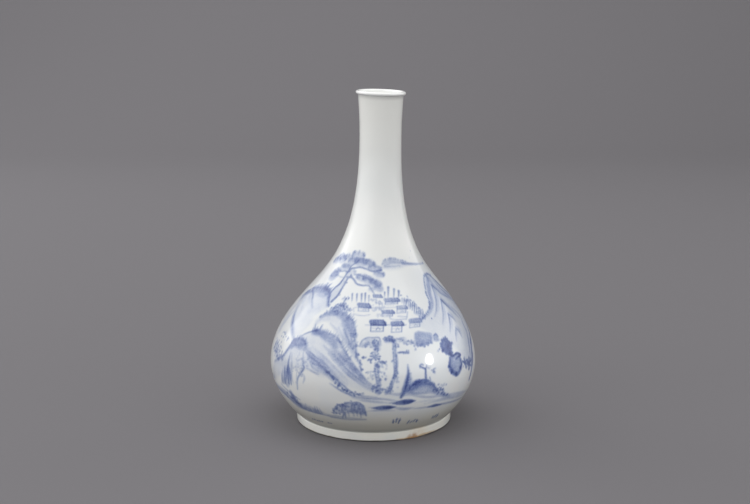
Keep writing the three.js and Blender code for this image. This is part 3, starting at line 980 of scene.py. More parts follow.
def paint_near_ridge(sheet):
    """The next ridge, whose long folds run down to the water."""
    near = [
        (-49, 106), (-47, 109), (-42, 113), (-38, 115), (-32, 114), (-27, 113), (-22, 110), (-19, 105),
        (-16, 99), (-13, 93)
    ]
    inside = [(-9, 83), (-4, 73), (1, 64), (-6, 64), (-14, 68), (-21, 79), (-30, 92), (-39, 98), (-46, 100)]
    sheet.fill([*near, *inside], 0.1, 4.0, 0.0, near, 22, 0.5)
    sheet.stroke(near[:4], (1.0, 1.4, 1.8), (0.4, 0.5, 0.5), 1.2)
    blot(sheet, [(-41, 112), (-38, 113), (-34, 113)], (4, 6, 5), (0.36, 0.52, 0.44))
    blot(sheet, [(-35, 112), (-30, 110), (-25, 107), (-22, 103)], (4.5, 7, 8, 6), (0.4, 0.42, 0.32), 3.8)
    blot(sheet, [(-27, 106), (-23, 101), (-19, 95), (-15, 88)], (4, 6, 5, 3), (0.2, 0.26, 0.2), 4.2)
    fringe(sheet, near[2:5], 6.0, 3.0, 0.56, 1.2, 1.0)
    fringe(sheet, near[4:], 3.6, 3.4, 0.42, 1.2, 1.1)
    fringe(sheet, [(-13, 94), (-9, 85), (-5, 76), (0, 68), (3, 62)], 0.8, 1.8, 0.3, 1.3, 1.1)
    for line, width, ink in (
        ([(-22, 94), (-18, 89), (-13, 81), (-7, 73), (0, 64)], 5.0, 0.3),
        ([(-20, 99), (-15, 91), (-10, 84), (-6, 75)], 5.0, 0.34),
        ([(-18, 99), (-12, 89), (-7, 80), (-3, 70), (2, 63)], 4.0, 0.34),
        ([(-38, 100), (-30, 94), (-24, 87), (-17, 78), (-14, 72)], 3.6, 0.2),
        ([(-39, 95), (-32, 90), (-25, 82), (-19, 74), (-14, 67)], 4.4, 0.2),
        ([(-30, 103), (-25, 98), (-19, 91), (-14, 83)], 4.0, 0.26),
    ):
        blot(sheet, line, (0.4 * width, width, width, 0.4 * width), (ink, ink, 0.5 * ink), 3.0)
        for shift in (-1.8, 0.9):
            beside = [sheet.beside(p, shift + sheet.random.normal(0, 0.5), shift) for p in line]
            sheet.stroke(
                beside[sheet.random.integers(0, 2):], (0.7, 1.3, 0.7), (ink, 1.2 * ink, 0.4 * ink), 1.5
            )


def paint_front_ridge(sheet):
    """The nearest ridge, with a waterfall of dark strokes, a hanging root and scrub along its foot."""
    front = [
        (-72, 69), (-61, 80), (-57, 89), (-55, 97), (-54, 101), (-49, 104), (-45, 103), (-42, 98), (-38, 92)
    ]
    down = [(-38, 92), (-32, 87), (-27, 82), (-23, 77), (-18, 71), (-14, 65), (-11, 61), (-7, 58), (2, 56)]
    inside = [
        (-32, 87), (-24, 78), (-27, 73), (-34, 77), (-38, 78), (-41, 75), (-47, 74), (-56, 66), (-74, 51)
    ]
    sheet.fill([*front, *inside], 0.12, 4.0, 0.0, front, 24, 0.5)
    blot(sheet, [(-54, 95), (-52, 99), (-48, 101), (-44, 101)], (6, 8, 9, 7), (0.46, 0.56, 0.52))
    blot(sheet, [(-50, 97), (-46, 97), (-42, 96)], (4, 6, 4), 0.4)
    blot(sheet, [(-55, 95), (-57, 89), (-60, 82), (-70, 72)], (4, 4, 3), (0.46, 0.4, 0.36), 2.4)
    fringe(sheet, front[3:8], 3.6, 3.0, 0.52, 1.1, 1.1)
    fringe(sheet, front[1:4], 0.8, 2.0, 0.34, 1.2, 1.2)
    fold = [(-41, 97), (-36, 90), (-32, 87), (-27, 83), (-23, 77), (-19, 70)]
    blot(sheet, fold, (4, 7, 10, 10, 7, 3), (0.34, 0.28, 0.32, 0.34, 0.24), 4.2)
    blot(sheet, [(-35, 85), (-30, 81), (-25, 77)], (3, 7, 3), 0.26, 3.6)
    sheet.stroke(down, (1.2, 1.8, 1.6, 1.2), (0.36, 0.5, 0.46, 0.3), 1.3)
    sheet.stroke([(-23, 68), (-19, 64), (-15, 60), (-11, 58)], (1.0, 1.8, 1.4), (0.26, 0.46, 0.4), 1.4)
    leaves_along(
        sheet, [(-24, 77), (-20, 72), (-17, 67), (-14, 63), (-10, 60), (-4, 59)], 26, 1.0, 0.66, 1.5
    )
    for line in (
        [(-41, 94), (-37, 90), (-33, 88), (-30, 87)],
        [(-39, 90), (-35, 85), (-31, 84), (-26, 83)],
        [(-38, 95), (-33, 91), (-29, 89)],
        [(-37, 86), (-34, 81), (-30, 78)],
        [(-38, 79), (-34, 77), (-30, 75)],
    ):
        sheet.stroke(line, (0.8, 1.6, 0.8), 0.34, 1.2)
    for line, width, ink in (
        ([(-53, 89), (-53, 81), (-53, 73), (-54, 64), (-56, 55)], 3.0, 0.56),
        ([(-53, 78), (-52, 70), (-52, 57)], 5.5, 0.62),
        ([(-56, 74), (-56, 64), (-58, 54)], 4.0, 0.56),
        ([(-51, 74), (-50, 66), (-50, 57)], 3.4, 0.56),
        ([(-58, 69), (-59, 59), (-60, 54)], 4.0, 0.46),
        ([(-52, 90), (-50, 80), (-49, 69), (-48, 59)], 1.6, 0.28),
        ([(-43, 96), (-42, 89), (-41, 82), (-40, 78), (-42, 72), (-44, 66), (-45, 54)], 2.0, 0.5),
        ([(-46, 81), (-45, 73), (-45, 63)], 1.4, 0.22),
        ([(-40, 73), (-39, 68), (-40, 63)], 2.0, 0.24),
    ):
        sheet.stroke(line, (0.3 * width, width, 0.9 * width, 0.4 * width), (0.5 * ink, ink, ink), 1.4)
    blot(sheet, [(-54, 72), (-54, 64), (-54, 56)], (6, 10, 8), 0.22)
    for place, wide, tall, count, ink in (
        ((-44, 80), 5, 14, 16, 0.3),
        ((-39, 83), 7, 8, 16, 0.34),
        ((-41, 75), 5, 5, 10, 0.34),
        ((-47, 75), 5, 14, 10, 0.24),
        ((-67, 102), 6, 5, 12, 0.6),
        ((-62, 99), 5, 3, 6, 0.6),
        ((-71, 89), 14, 8, 40, 0.56),
        ((-69, 84), 14, 6, 30, 0.56),
        ((-63, 80), 12, 4, 16, 0.5),
    ):
        leaves(sheet, place, wide, tall, count, ink, 1.1)
    blot(sheet, [(-74, 89), (-71, 83), (-65, 77)], (8, 10, 6), 0.14, 4)


def paint_valley_trees(sheet):
    """The two tall trees in the middle, with the scrub under them."""
    for place, wide, ink in (
        ((-5, 107), 6, 0.2),
        ((-2, 110), 7, 0.18),
        ((2, 107), 5, 0.3),
        ((2, 103), 4, 0.26),
        ((9, 111), 6, 0.4),
        ((12, 110), 4, 0.26),
        ((17, 110), 6, 0.12),
    ):
        blot(
            sheet, [sheet.beside(place, -0.4 * wide, 0), sheet.beside(place, 0.4 * wide, 0)], 0.8 * wide,
            ink, 3.0
        )
    sheet.stroke([(-8, 105), (-7, 110), (-4, 113), (-1, 113)], (1.2, 1.4, 1.0), 0.4, 1.2)
    sheet.stroke([(-1, 113), (3, 113), (4, 109)], (1.2, 1.4, 1.0), 0.36, 1.2)
    sheet.stroke([(-7, 105), (-4, 107), (0, 106)], (0.9, 1.2, 0.8), 0.3, 1.2)
    for place, wide, tall, count, ink in (
        ((-4, 107), 8, 3, 14, 0.4),
        ((1, 108), 5, 5, 22, 0.52),
        ((2, 103), 4, 4, 12, 0.5),
        ((8, 112), 7, 3, 20, 0.46),
        ((12, 110), 4, 4, 12, 0.46),
        ((16, 111), 4, 3, 8, 0.36),
        ((20, 107), 4, 2, 7, 0.4),
        ((-5, 96), 2.4, 2.4, 4, 0.6),
        ((-1, 92), 4, 1.4, 5, 0.6),
        ((5, 91), 5, 1.6, 7, 0.6),
        ((-2, 78), 4, 6, 9, 0.44),
        ((6, 86), 4, 4, 6, 0.36),
        ((6, 77), 4, 5, 10, 0.44),
        ((-6, 84), 1.5, 5, 6, 0.5),
        ((13, 106), 3, 4, 10, 0.5),
        ((0, 66), 6, 3, 14, 0.46),
        ((4, 63), 9, 3, 18, 0.5),
        ((8, 63), 6, 3, 14, 0.5),
        ((13, 75), 1.4, 8, 9, 0.4),
    ):
        leaves(sheet, place, wide, tall, count, ink, 1.1)
    middle = (1, 96)
    for angle, reach in (
        (0.1, 5.2), (0.75, 4.4), (1.5, 4.2), (2.3, 5.0), (3.0, 4.0), (3.9, 5.4), (4.8, 3.4), (5.6, 5.0)
    ):
        half = sheet.beside(middle, 0.4 * reach * math.cos(angle), 0.4 * reach * math.sin(angle))
        spoke = sheet.beside(middle, reach * math.cos(angle), 0.9 * reach * math.sin(angle))
        sheet.stroke([half, spoke], (1.3, 1.0), 0.46, 1.1)
        leaves(sheet, spoke, 1.2, 1.0, 2, 0.56)
    leaves(sheet, middle, 2.0, 2.0, 5, 0.5)
    for trunk, width in (
        ([(2, 90), (2, 81), (3, 71), (3, 60)], 3.6),
        ([(12, 111), (12, 103), (12, 95), (12, 87), (12, 79), (10, 70), (8, 60)], 2.8),
    ):
        blot(sheet, trunk, (0.7 * width, width, 1.1 * width, 0.8 * width), (0.22, 0.26, 0.2), 2.0)
        for side in (-0.45, 0.45):
            edge = [sheet.beside(p, side * width, 0) for p in trunk]
            sheet.stroke(edge, (1.0, 1.2, 0.9), (0.3, 0.36, 0.24), 1.3)
            leaves_along(sheet, edge, 14, 0.5, 0.5, 1.1)
    blot(sheet, [(13, 98), (13, 90), (12, 81), (11, 75)], (1.5, 3.0, 2.0), (0.3, 0.5, 0.36), 1.8)
    blot(sheet, [(10, 70), (9, 65), (7, 60)], (2.5, 3.5, 2.5), 0.44, 2.0)
    sheet.stroke([(2, 88), (3, 87)], 3.4, 0.56, 1.6)
    sheet.stroke([(14, 99), (17, 99), (20, 98)], (1.2, 1.5, 2.0), 0.6, 1.1)
    for i in range(6):
        spot = sheet.beside((15, 99), 1.8 * i, 0)
        sheet.stroke([spot, sheet.beside(spot, 0.3, sheet.random.uniform(-2.0, 2.6))], (1.5, 0.9), 0.6, 1.1)


def paint_right_bushes(sheet):
    """The row of bushes at the right, each one wash of colour with an uneven edge."""
    cloud = [
        (26, 115), (29, 116), (34, 114), (38, 112), (37, 107), (36, 104), (31, 104), (26, 106), (25, 110)
    ]
    sheet.fill(cloud, 0.41, 2.4, 0.06)
    blot(sheet, [(27, 112), (31, 113), (36, 111)], (3, 5, 3), 0.2)
    leaves_along(sheet, [(25, 106), (28, 104), (31, 103), (36, 104)], 10, 0.6, 0.42, 1.8)
    leaves_along(sheet, [(21, 108), (23, 106), (26, 104), (30, 103)], 18, 1.0, 0.5, 1.3)
    leaves(sheet, (24, 102), 3, 2, 4, 0.4)
    scalloped(sheet, [(39, 110), (41, 111), (42, 107), (41, 104), (38, 106)], 0.3, 0.1)
    sheet.stroke([(39, 110), (41, 111), (42, 108)], (1.2, 2.0, 1.2), 0.5, 1.2)
    dark = [
        (46, 106), (48, 106), (50, 101), (52, 99), (50, 94), (50, 89), (47, 89), (44, 92), (42, 97),
        (43, 102)
    ]
    scalloped(sheet, dark, 0.96, 0.1)
    blot(sheet, [(46, 104), (48, 100), (48, 96), (48, 92)], (4, 6, 5), 0.98, 3.0)
    leaves(sheet, (40, 96), 1.5, 1.5, 3, 0.5)
    sheet.stroke([(48, 89), (50, 87)], (3.0, 2.4), 0.9, 1.2)
    second = [(47, 87), (53, 88), (56, 85), (57, 77), (55, 71), (52, 66), (47, 70), (45, 77), (46, 83)]
    scalloped(sheet, second, 0.4, 0.34)
    blot(sheet, [(47, 84), (46, 78), (48, 72), (52, 68), (56, 74), (56, 81)], (3, 4, 5, 4, 3), 0.78, 2.6)
    sheet.stroke([(51, 87), (54, 88), (57, 85), (54, 84), (52, 83)], (1.6, 2.4, 1.6), 0.95, 1.1)
    for spot, size in (((47, 72), 3.4), ((51, 68), 4.0), ((45, 78), 2.6), ((55, 73), 3.0)):
        sheet.stroke([spot], size, 0.95, 1.8)
    for line in (
        [(58, 78), (61, 75), (69, 68)],
        [(60, 80), (61, 75), (61, 70)],
        [(63, 77), (65, 73), (70, 73)],
        [(67, 78), (67, 72), (66, 66)],
    ):
        sheet.stroke(line, (1.6, 2.8, 1.6), 0.66, 1.2)
    leaves(sheet, (63, 74), 12, 7, 26, 0.6, 1.5)


def paint_shore(sheet):
    """The mound with its small trees, the spits of land and the lines of still water."""
    rim = [(18, 61), (20, 65), (23, 68), (25, 70), (29, 70), (32, 66), (35, 60), (38, 55)]
    foot = [(34, 54), (27, 56), (21, 57)]
    sheet.fill([*rim, *foot], 0.46, 3.0, 0.0, rim, 7, 0.4)
    blot(sheet, [(19, 61), (22, 65), (24, 67), (28, 67)], (5, 8, 8, 5), (0.5, 0.62, 0.5), 4.0)
    blot(sheet, [(28, 67), (32, 64), (35, 58)], (4, 6, 4), (0.6, 0.56, 0.4), 3.6)
    sheet.stroke(rim[1:7], (1.4, 1.8, 1.8, 1.4), (0.5, 0.66, 0.56, 0.44), 1.4)
    leaves_along(sheet, rim, 30, 0.7, 0.56, 1.4)
    leaves_along(sheet, [(36, 61), (40, 55), (44, 49)], 16, 1.6, 0.5, 1.5)
    leaves(sheet, (41, 59), 5, 4, 9, 0.34, 1.2)
    blot(sheet, [(35, 55), (41, 50), (51, 42)], (3, 5, 3), (0.34, 0.24, 0.1))
    sheet.stroke([(29, 70), (29, 77), (29, 81), (27, 83), (26, 85)], (2.4, 1.7, 1.2), 0.76, 1.1)
    sheet.stroke([(26, 83), (26, 85), (27, 86), (28, 85)], (1.2, 1.6, 1.2), 0.7, 1.1)
    sheet.stroke([(29, 81), (30, 83), (30, 84)], (1.2, 1.0), 0.56, 1.1)
    leaves(sheet, (34, 78), 2.6, 2.4, 6, 0.4, 1.2)
    leaves(sheet, (31, 83), 2.4, 2.0, 4, 0.4)
    cone = [(19, 87), (19, 79), (18, 71), (17, 63), (15, 55)]
    blot(sheet, cone, (0.7, 2.4, 4.6, 6.0, 2.6), (0.26, 0.5, 0.6, 0.66, 0.5), 2.6)
    sheet.stroke(cone, (0.7, 1.5, 2.0, 1.8), (0.4, 0.56, 0.7), 1.4)
    blot(sheet, [(20, 77), (20, 70), (19, 63)], (1.5, 4.0, 3.0), 0.26, 2.6)
    tufts(sheet, cone[1:], 2.6, 0.42, 1.3, 1.0, 0.5)
    lens(sheet, (17, 49), 12.0, 3.0, 0.72)
    lens(sheet, (6, 44), 12.0, 2.5, 0.66)
    for line, width, ink in (
        ([(11, 44), (17, 41), (23, 41)], 3.0, 0.3),
        ([(-17, 63), (-11, 57), (-4, 55), (5, 54), (13, 51)], 2.0, 0.4),
        ([(-11, 55), (-3, 52), (5, 51)], 3.0, 0.16),
        ([(-7, 53), (1, 51), (10, 49)], 2.2, 0.24),
        ([(7, 60), (14, 58), (22, 57), (31, 56)], 3.6, 0.2),
        ([(-3, 40), (4, 41), (12, 40)], 2.0, 0.24),
        ([(23, 40), (33, 39), (44, 38), (59, 35), (74, 33)], 2.4, 0.42),
        ([(29, 44), (44, 44), (67, 37)], 3.4, 0.2),
        ([(40, 49), (53, 45), (74, 38)], 4.0, 0.2),
        ([(23, 47), (31, 47), (40, 45)], 2.0, 0.16),
        ([(22, 55), (31, 51), (40, 49)], 2.4, 0.3),
    ):
        sheet.stroke(line, (0.3 * width, width, width, 0.3 * width), (0.7 * ink, ink, 0.7 * ink), 1.6)
    blot(sheet, [(32, 39), (37, 39), (42, 38)], (1.0, 3.6, 1.2), 0.66, 1.4)


def paint_near_bank(sheet):
    """The near bank at the lower left, with reeds, a row of low thatched huts and small marks by the
    foot."""
    bank = [(-75, 45), (-61, 41), (-52, 34), (-42, 31), (-31, 30), (-20, 29), (-4, 29)]
    sheet.stroke(bank, (1.4, 2.0, 1.6, 1.2), (0.4, 0.5, 0.4, 0.26), 1.4)
    blot(sheet, [(-76, 44), (-59, 42), (-49, 37), (-39, 33)], (5, 9, 7, 3), (0.26, 0.34, 0.22), 3.6)
    blot(sheet, [(-52, 47), (-51, 40), (-48, 36)], (5, 9, 5), 0.44)
    sheet.stroke([(-62, 52), (-54, 47), (-45, 42)], (1.0, 2.0, 1.0), 0.36, 1.4)
    sheet.stroke([(-60, 38), (-51, 31), (-41, 30)], (0.8, 1.6, 0.8), 0.3, 1.4)
    leaves(sheet, (-51, 41), 6, 5, 18, 0.46, 1.4)
    leaves_along(sheet, [(-58, 43), (-50, 35), (-41, 32)], 16, 1.6, 0.4, 1.4)
    tufts(sheet, [(-48, 34), (-41, 32), (-30, 32)], 8.5, 0.36, 1.5, 1.5, -0.1, 3)
    tufts(sheet, [(-49, 33), (-40, 31), (-31, 31)], 4.5, 0.42, 1.5, 1.3, 0.2, 2)
    blot(sheet, [(-45, 37), (-38, 35), (-30, 33)], (4, 6, 3), 0.14)
    for arch, ink in (
        ([(-23, 34), (-21, 42), (-18, 46), (-15, 44)], 0.16),
        ([(-18, 37), (-16, 46), (-13, 49), (-10, 47), (-10, 38)], 0.26),
        ([(-12, 38), (-11, 48), (-8, 50), (-6, 47), (-5, 37)], 0.28),
        ([(-9, 37), (-7, 47), (-5, 46), (-4, 35)], 0.24),
    ):
        sheet.fill([*arch, sheet.beside(arch[0], 2, -1)], ink, 3.0, 0.04)
        sheet.stroke(arch, (1.0, 1.5, 1.0), 0.42, 1.4)
    for place in [(-19, 39), (-17, 40), (-14, 40), (-11, 40), (-9, 40), (-7, 39), (-4, 39)]:
        sheet.stroke([place, sheet.beside(place, 0.3, -sheet.random.uniform(4, 9))], (1.5, 0.9), 0.42, 1.3)
    leaves_along(sheet, [(-24, 38), (-18, 44), (-11, 48), (-6, 46)], 30, 2.0, 0.46, 1.3)
    leaves_along(sheet, [(-22, 36), (-14, 39), (-7, 37)], 22, 2.0, 0.4, 1.3)
    sheet.stroke([(-18, 30), (-16, 36), (-16, 30)], (1.4, 1.8, 1.4), 0.6, 1.2)
    sheet.stroke([(-30, 32), (-25, 31), (-19, 31), (-4, 30)], (0.8, 1.6, 0.8), 0.3, 1.4)
    sheet.stroke([(-26, 28), (-15, 28), (-4, 29)], (0.8, 2.0, 0.8), 0.26, 1.6)
    for place, count, tall, ink in (
        ((14, 27), 3, 9.5, 0.86),
        ((25, 23), 4, 6.5, 0.76),
        ((42, 23), 3, 9.0, 0.82),
        ((-41, 19), 3, 3.4, 0.8),
        ((-36, 19), 2, 3.0, 0.7),
        ((-29, 19), 2, 2.6, 0.7),
    ):
        marks(sheet, place, count, tall, ink)


def paint_back(sheet):
    """The far side, plainer: open water with a sail, low hills, a headland with pines and reeds on the
    bank."""
    hills = [(100, 150), (112, 158), (122, 155), (134, 163), (148, 158), (160, 160), (172, 154), (186, 150)]
    hill(sheet, hills, [(100, 146), (140, 150), (186, 147)], 0.36, 4)
    headland = [(96, 98), (104, 106), (113, 109), (122, 105), (130, 96), (138, 84), (148, 74)]
    hill(sheet, headland, [(98, 70), (118, 72), (134, 66), (150, 64)], 0.48, 7)
    for turn, height in ((107, 112), (112, 115), (117, 111)):
        sheet.stroke([(turn, height - 6), (turn + 0.8, height)], (1.4, 0.8), 0.6)
        pad(sheet, (turn + 0.8, height + 2), 5, 2.8, 0.5)
    for turn in (202, 240):
        peak = [
            (turn - 22, 104), (turn - 14, 118), (turn - 6, 128), (turn + 2, 130), (turn + 9, 121),
            (turn + 18, 106)
        ]
        hill(sheet, peak, [(turn - 16, 82), (turn, 84), (turn + 16, 82)], 0.46, 8)
    sheet.stroke([(160, 92), (164, 89.5), (171, 89), (176, 91.5)], (0.7, 1.8, 1.6, 0.6), 0.6)
    sheet.stroke([(168, 90), (168.3, 108)], 0.9, 0.55)
    sheet.stroke([(168.3, 107), (162.5, 98), (162, 93), (168, 93.5)], (0.6, 1.0, 0.6), 0.45)
    for share in (0.25, 0.5, 0.75):
        sheet.stroke([(163.4 + 2 * share, 94 + 11 * share), (168.2, 94 + 11 * share)], 0.6, 0.32)
    for left, right, height in (
        (150, 178, 84), (154, 180, 80), (96, 150, 51), (100, 146, 46), (176, 236, 53), (184, 230, 48)
    ):
        water = [(left, height), ((left + right) / 2, height - 2.5), (right, height)]
        sheet.stroke(water, (0.4, 1.8, 1.8, 0.4), 0.3, 1.4)
    lens(sheet, (136, 56), 10, 2.0, 0.7)
    lens(sheet, (196, 60), 11, 1.8, 0.6)
    for place, wide, tall, ink in (((222, 76), 9, 7, 0.4), ((231, 80), 6, 6, 0.6), ((212, 74), 6, 5, 0.5)):
        blot(sheet, [place], 1.6 * tall, 0.6 * ink)
        leaves(sheet, place, wide, tall, 22, ink, 1.3)
    bank = [(228, 46), (244, 50), (258, 47), (272, 52), (288, 53)]
    sheet.stroke(bank, (0.8, 1.6, 1.0), 0.42, 1.4)
    tufts(sheet, bank, 5, 0.42, 1.5, 1.2, 0.1, 3)
    for place in ((120, 30), (168, 27), (214, 30)):
        marks(sheet, place, 4, 2.6, 0.6)


def paint_landscape(sheet):
    """The whole painting, far things first."""
    for paint in (
        paint_far_hills,
        paint_right_cliff,
        paint_back_mountain,
        paint_middle_ridge,
        paint_near_ridge,
        paint_front_ridge,
        paint_old_pine,
        paint_village,
        paint_valley_trees,
        paint_right_bushes,
        paint_shore,
        paint_near_bank,
        paint_back,
    ):
        paint(sheet)
    return sheet


def blocks(spots, rows, columns):
    """The spots of a sheet grouped into cells of that many rows and columns."""
    return spots.reshape(spots.shape[0] // rows, rows, spots.shape[1] // columns, columns)


def cells_to_split(ink, first_row, least):
    """For each level, which cells are halved: those that the outline asks for and those with detail in
    the painting. Neighbours never differ by more than one level."""
    split = []
    across = 2**FINEST * SPOTS_PER_CELL
    for level in range(FINEST):
        factor = 2**level
        cells = np.repeat((least > level)[:, None], CELLS_ROUND * factor, axis=1)
        cells = np.repeat(cells, factor, axis=0)
        size = across // factor
        grouped = blocks(ink, size, size)
        detail = grouped.max(axis=(1, 3)) - grouped.min(axis=(1, 3)) > SPLIT_AT[level]
        start = first_row * factor
        cells[start : start + detail.shape[0]] |= detail
        split.append(cells)
    for level in range(FINEST - 1, 0, -1):
        near = split[level].copy()
        near[1:] |= split[level][:-1]
        near[:-1] |= split[level][1:]
        near |= np.roll(split[level], 1, axis=1) | np.roll(split[level], -1, axis=1)
        split[level - 1] |= blocks(near, 2, 2).any(axis=(1, 3))
    for level in range(1, FINEST):
        parent = np.repeat(np.repeat(split[level - 1], 2, axis=0), 2, axis=1)
        split[level] &= parent
    return split


def leaf_cells(split):
    """The low corner and size of each cell that isn't halved, in steps of the finest cell."""
    leaves = []
    exists = np.ones_like(split[0])
    for level in range(FINEST + 1):
        size = 2 ** (FINEST - level)
        halved = split[level] if level < FINEST else np.zeros_like(exists)
        rows, columns = np.nonzero(exists & ~halved)
        leaves.append((rows * size, columns * size, size))
        exists = np.repeat(np.repeat(halved, 2, axis=0), 2, axis=1)
    return leaves


def sheet_faces(leaves, row_steps):
    """The sheet's faces over its grid points: a quad for each cell, or a fan about its middle where a
    neighbour is finer. Each pole is a single point. Also says which grid point each vertex is."""
    round_steps = CELLS_ROUND * 2**FINEST
    used = np.zeros((row_steps + 1, round_steps), bool)
    for rows, columns, size in leaves:
        for row, column in ((0, 0), (0, size), (size, 0), (size, size)):
            used[rows + row, (columns + column) % round_steps] = True

    def point(rows, columns):
        at_pole = (rows == 0) | (rows == row_steps)
        return rows * round_steps + np.where(at_pole, 0, columns % round_steps)

    faces = []
    for rows, columns, size in leaves:
        half = size // 2
        ring = (
            (0, 0), (0, half), (0, size), (half, size), (size, size), (size, half), (size, 0), (half, 0)
        )
        finer = np.zeros(len(rows), int)
        if half:
            for side, (row, column) in enumerate(ring[1::2]):
                finer += used[rows + row, (columns + column) % round_steps] << side
        for pattern in np.unique(finer):
            chosen = finer == pattern
            low, left = rows[chosen], columns[chosen]
            border = [ring[k] for k in range(8) if k % 2 == 0 or pattern >> (k // 2) & 1]
            points = [point(low + row, left + column) for row, column in border]
            if pattern == 0:
                faces += np.stack(points, axis=1).tolist()
                continue
            middle = point(low + half, left + half)
            for start, end in zip(points, points[1:] + points[:1]):
                faces += np.stack([middle, start, end], axis=1).tolist()
    faces = [list(dict.fromkeys(face)) for face in faces]
    names = np.unique(np.concatenate([np.array(face) for face in faces]))
    index = np.full((row_steps + 1) * round_steps, -1)
    index[names] = np.arange(len(names))
    return [index[face].tolist() for face in faces], names // round_steps, names % round_steps


def soften(spots, times):
    """The painting averaged over each spot's neighbours a few times, as cobalt runs a little in the
    glaze."""
    for _ in range(times):
        rows = np.pad(spots, ((1, 1), (0, 0)), mode="edge")
        spots = (rows[:-2] + 2 * rows[1:-1] + rows[2:]) / 4
        spots = (np.roll(spots, 1, axis=1) + 2 * spots + np.roll(spots, -1, axis=1)) / 4
    return spots


def painted_sheet(form, paint):
    """The unrolled mesh, with how far round and how far along the outline each vertex lies, and its
    ink."""
    stretches, first = outline(form)
    row_runs = [0.0]
    least = []
    places = [stretches[0][0][:1]]
    for stretch, rows, level in stretches:
        start = row_runs[-1]
        row_runs += list(start + run_of(stretch)[-1] * np.arange(1, rows + 1) / rows)
        least += [level] * rows
        places.append(stretch[1:])
    places = np.vstack(places)
    first_row = sum(rows for _, rows, _ in stretches[:first])
    body = stretches[first][0]
    spots = 2**FINEST * SPOTS_PER_CELL
    step = (row_runs[first_row + 1] - row_runs[first_row]) / spots
    run = (np.arange(PAINTED_CELLS * spots) + 0.5) * step
    body_run = run_of(body)
    radius, height = (np.interp(run, body_run, body[:, axis]) / MM for axis in (0, 1))
    sheet = paint_landscape(Sheet(run / MM, radius, height, CELLS_ROUND * spots, paint.seed))
    ink = soften(sheet.line + sheet.wash * (1 - 0.5 * sheet.line), paint.runs)

    split = cells_to_split(ink, first_row, np.array(least))
    steps = 2**FINEST
    faces, rows, columns = sheet_faces(leaf_cells(split), len(least) * steps)
    along = np.interp(rows / steps, np.arange(len(row_runs)), row_runs)
    turn = columns / (CELLS_ROUND * steps) * 2 * math.pi - math.pi
    row_spots = np.clip((rows - first_row * steps) * SPOTS_PER_CELL, 0, len(run) - 1)
    painted = (rows > first_row * steps) & (rows < (first_row + PAINTED_CELLS) * steps)
    inks = np.where(painted, ink[row_spots, (columns * SPOTS_PER_CELL) % ink.shape[1]], 0)

    mesh = bpy.data.meshes.new("sheet")
    flat = np.stack([turn, along, np.zeros_like(turn)], axis=1)
    mesh.from_pydata(flat.tolist(), [], faces)
    for name, values in (("turn", turn), ("run", along), ("ink", inks)):
        attribute = mesh.attributes.new(name, "FLOAT", "POINT")
        attribute.data.foreach_set("value", values.astype(np.float32))
    return mesh, places


class Tree:
    """A node tree that is written as it is wired: each call adds a node and gives back its first
    output."""

    def __init__(self, tree):
        self.tree = tree
        self.tree.nodes.clear()

    def node(self, kind, inputs=(), **settings):
        node = self.tree.nodes.new(kind)
        for name, value in settings.items():
            setattr(node, name, value)
        for name, value in dict(inputs).items():
            if isinstance(value, bpy.types.NodeSocket):
                self.tree.links.new(value, node.inputs[name])
            else:
                node.inputs[name].default_value = value
        return node

    def __call__(self, kind, inputs=(), **settings):
        return self.node(kind, inputs, **settings).outputs[0]

    def math(self, operation, *values, clamp=False):
        return self("ShaderNodeMath", enumerate(values), operation=operation, use_clamp=clamp)

    def ramp(self, value, start, end, low=0.0, high=1.0, smooth=True):
        """Maps value from start..end to low..high and holds it there outside."""
        inputs = {"Value": value, "From Min": start, "From Max": end, "To Min": low, "To Max": high}
        return self("ShaderNodeMapRange", inputs, interpolation_type="SMOOTHSTEP" if smooth else "LINEAR")

    def mix(self, factor, first, second, blend="MIX"):
        node = self.node("ShaderNodeMix", data_type="RGBA", blend_type=blend, clamp_factor=True)
        for socket, value in ((node.inputs[0], factor), (node.inputs[6], first), (node.inputs[7], second)):
            if isinstance(value, bpy.types.NodeSocket):
                self.tree.links.new(value, socket)
            else:
                socket.default_value = (*value, 1) if hasattr(value, "__len__") else value
        return node.outputs[2]


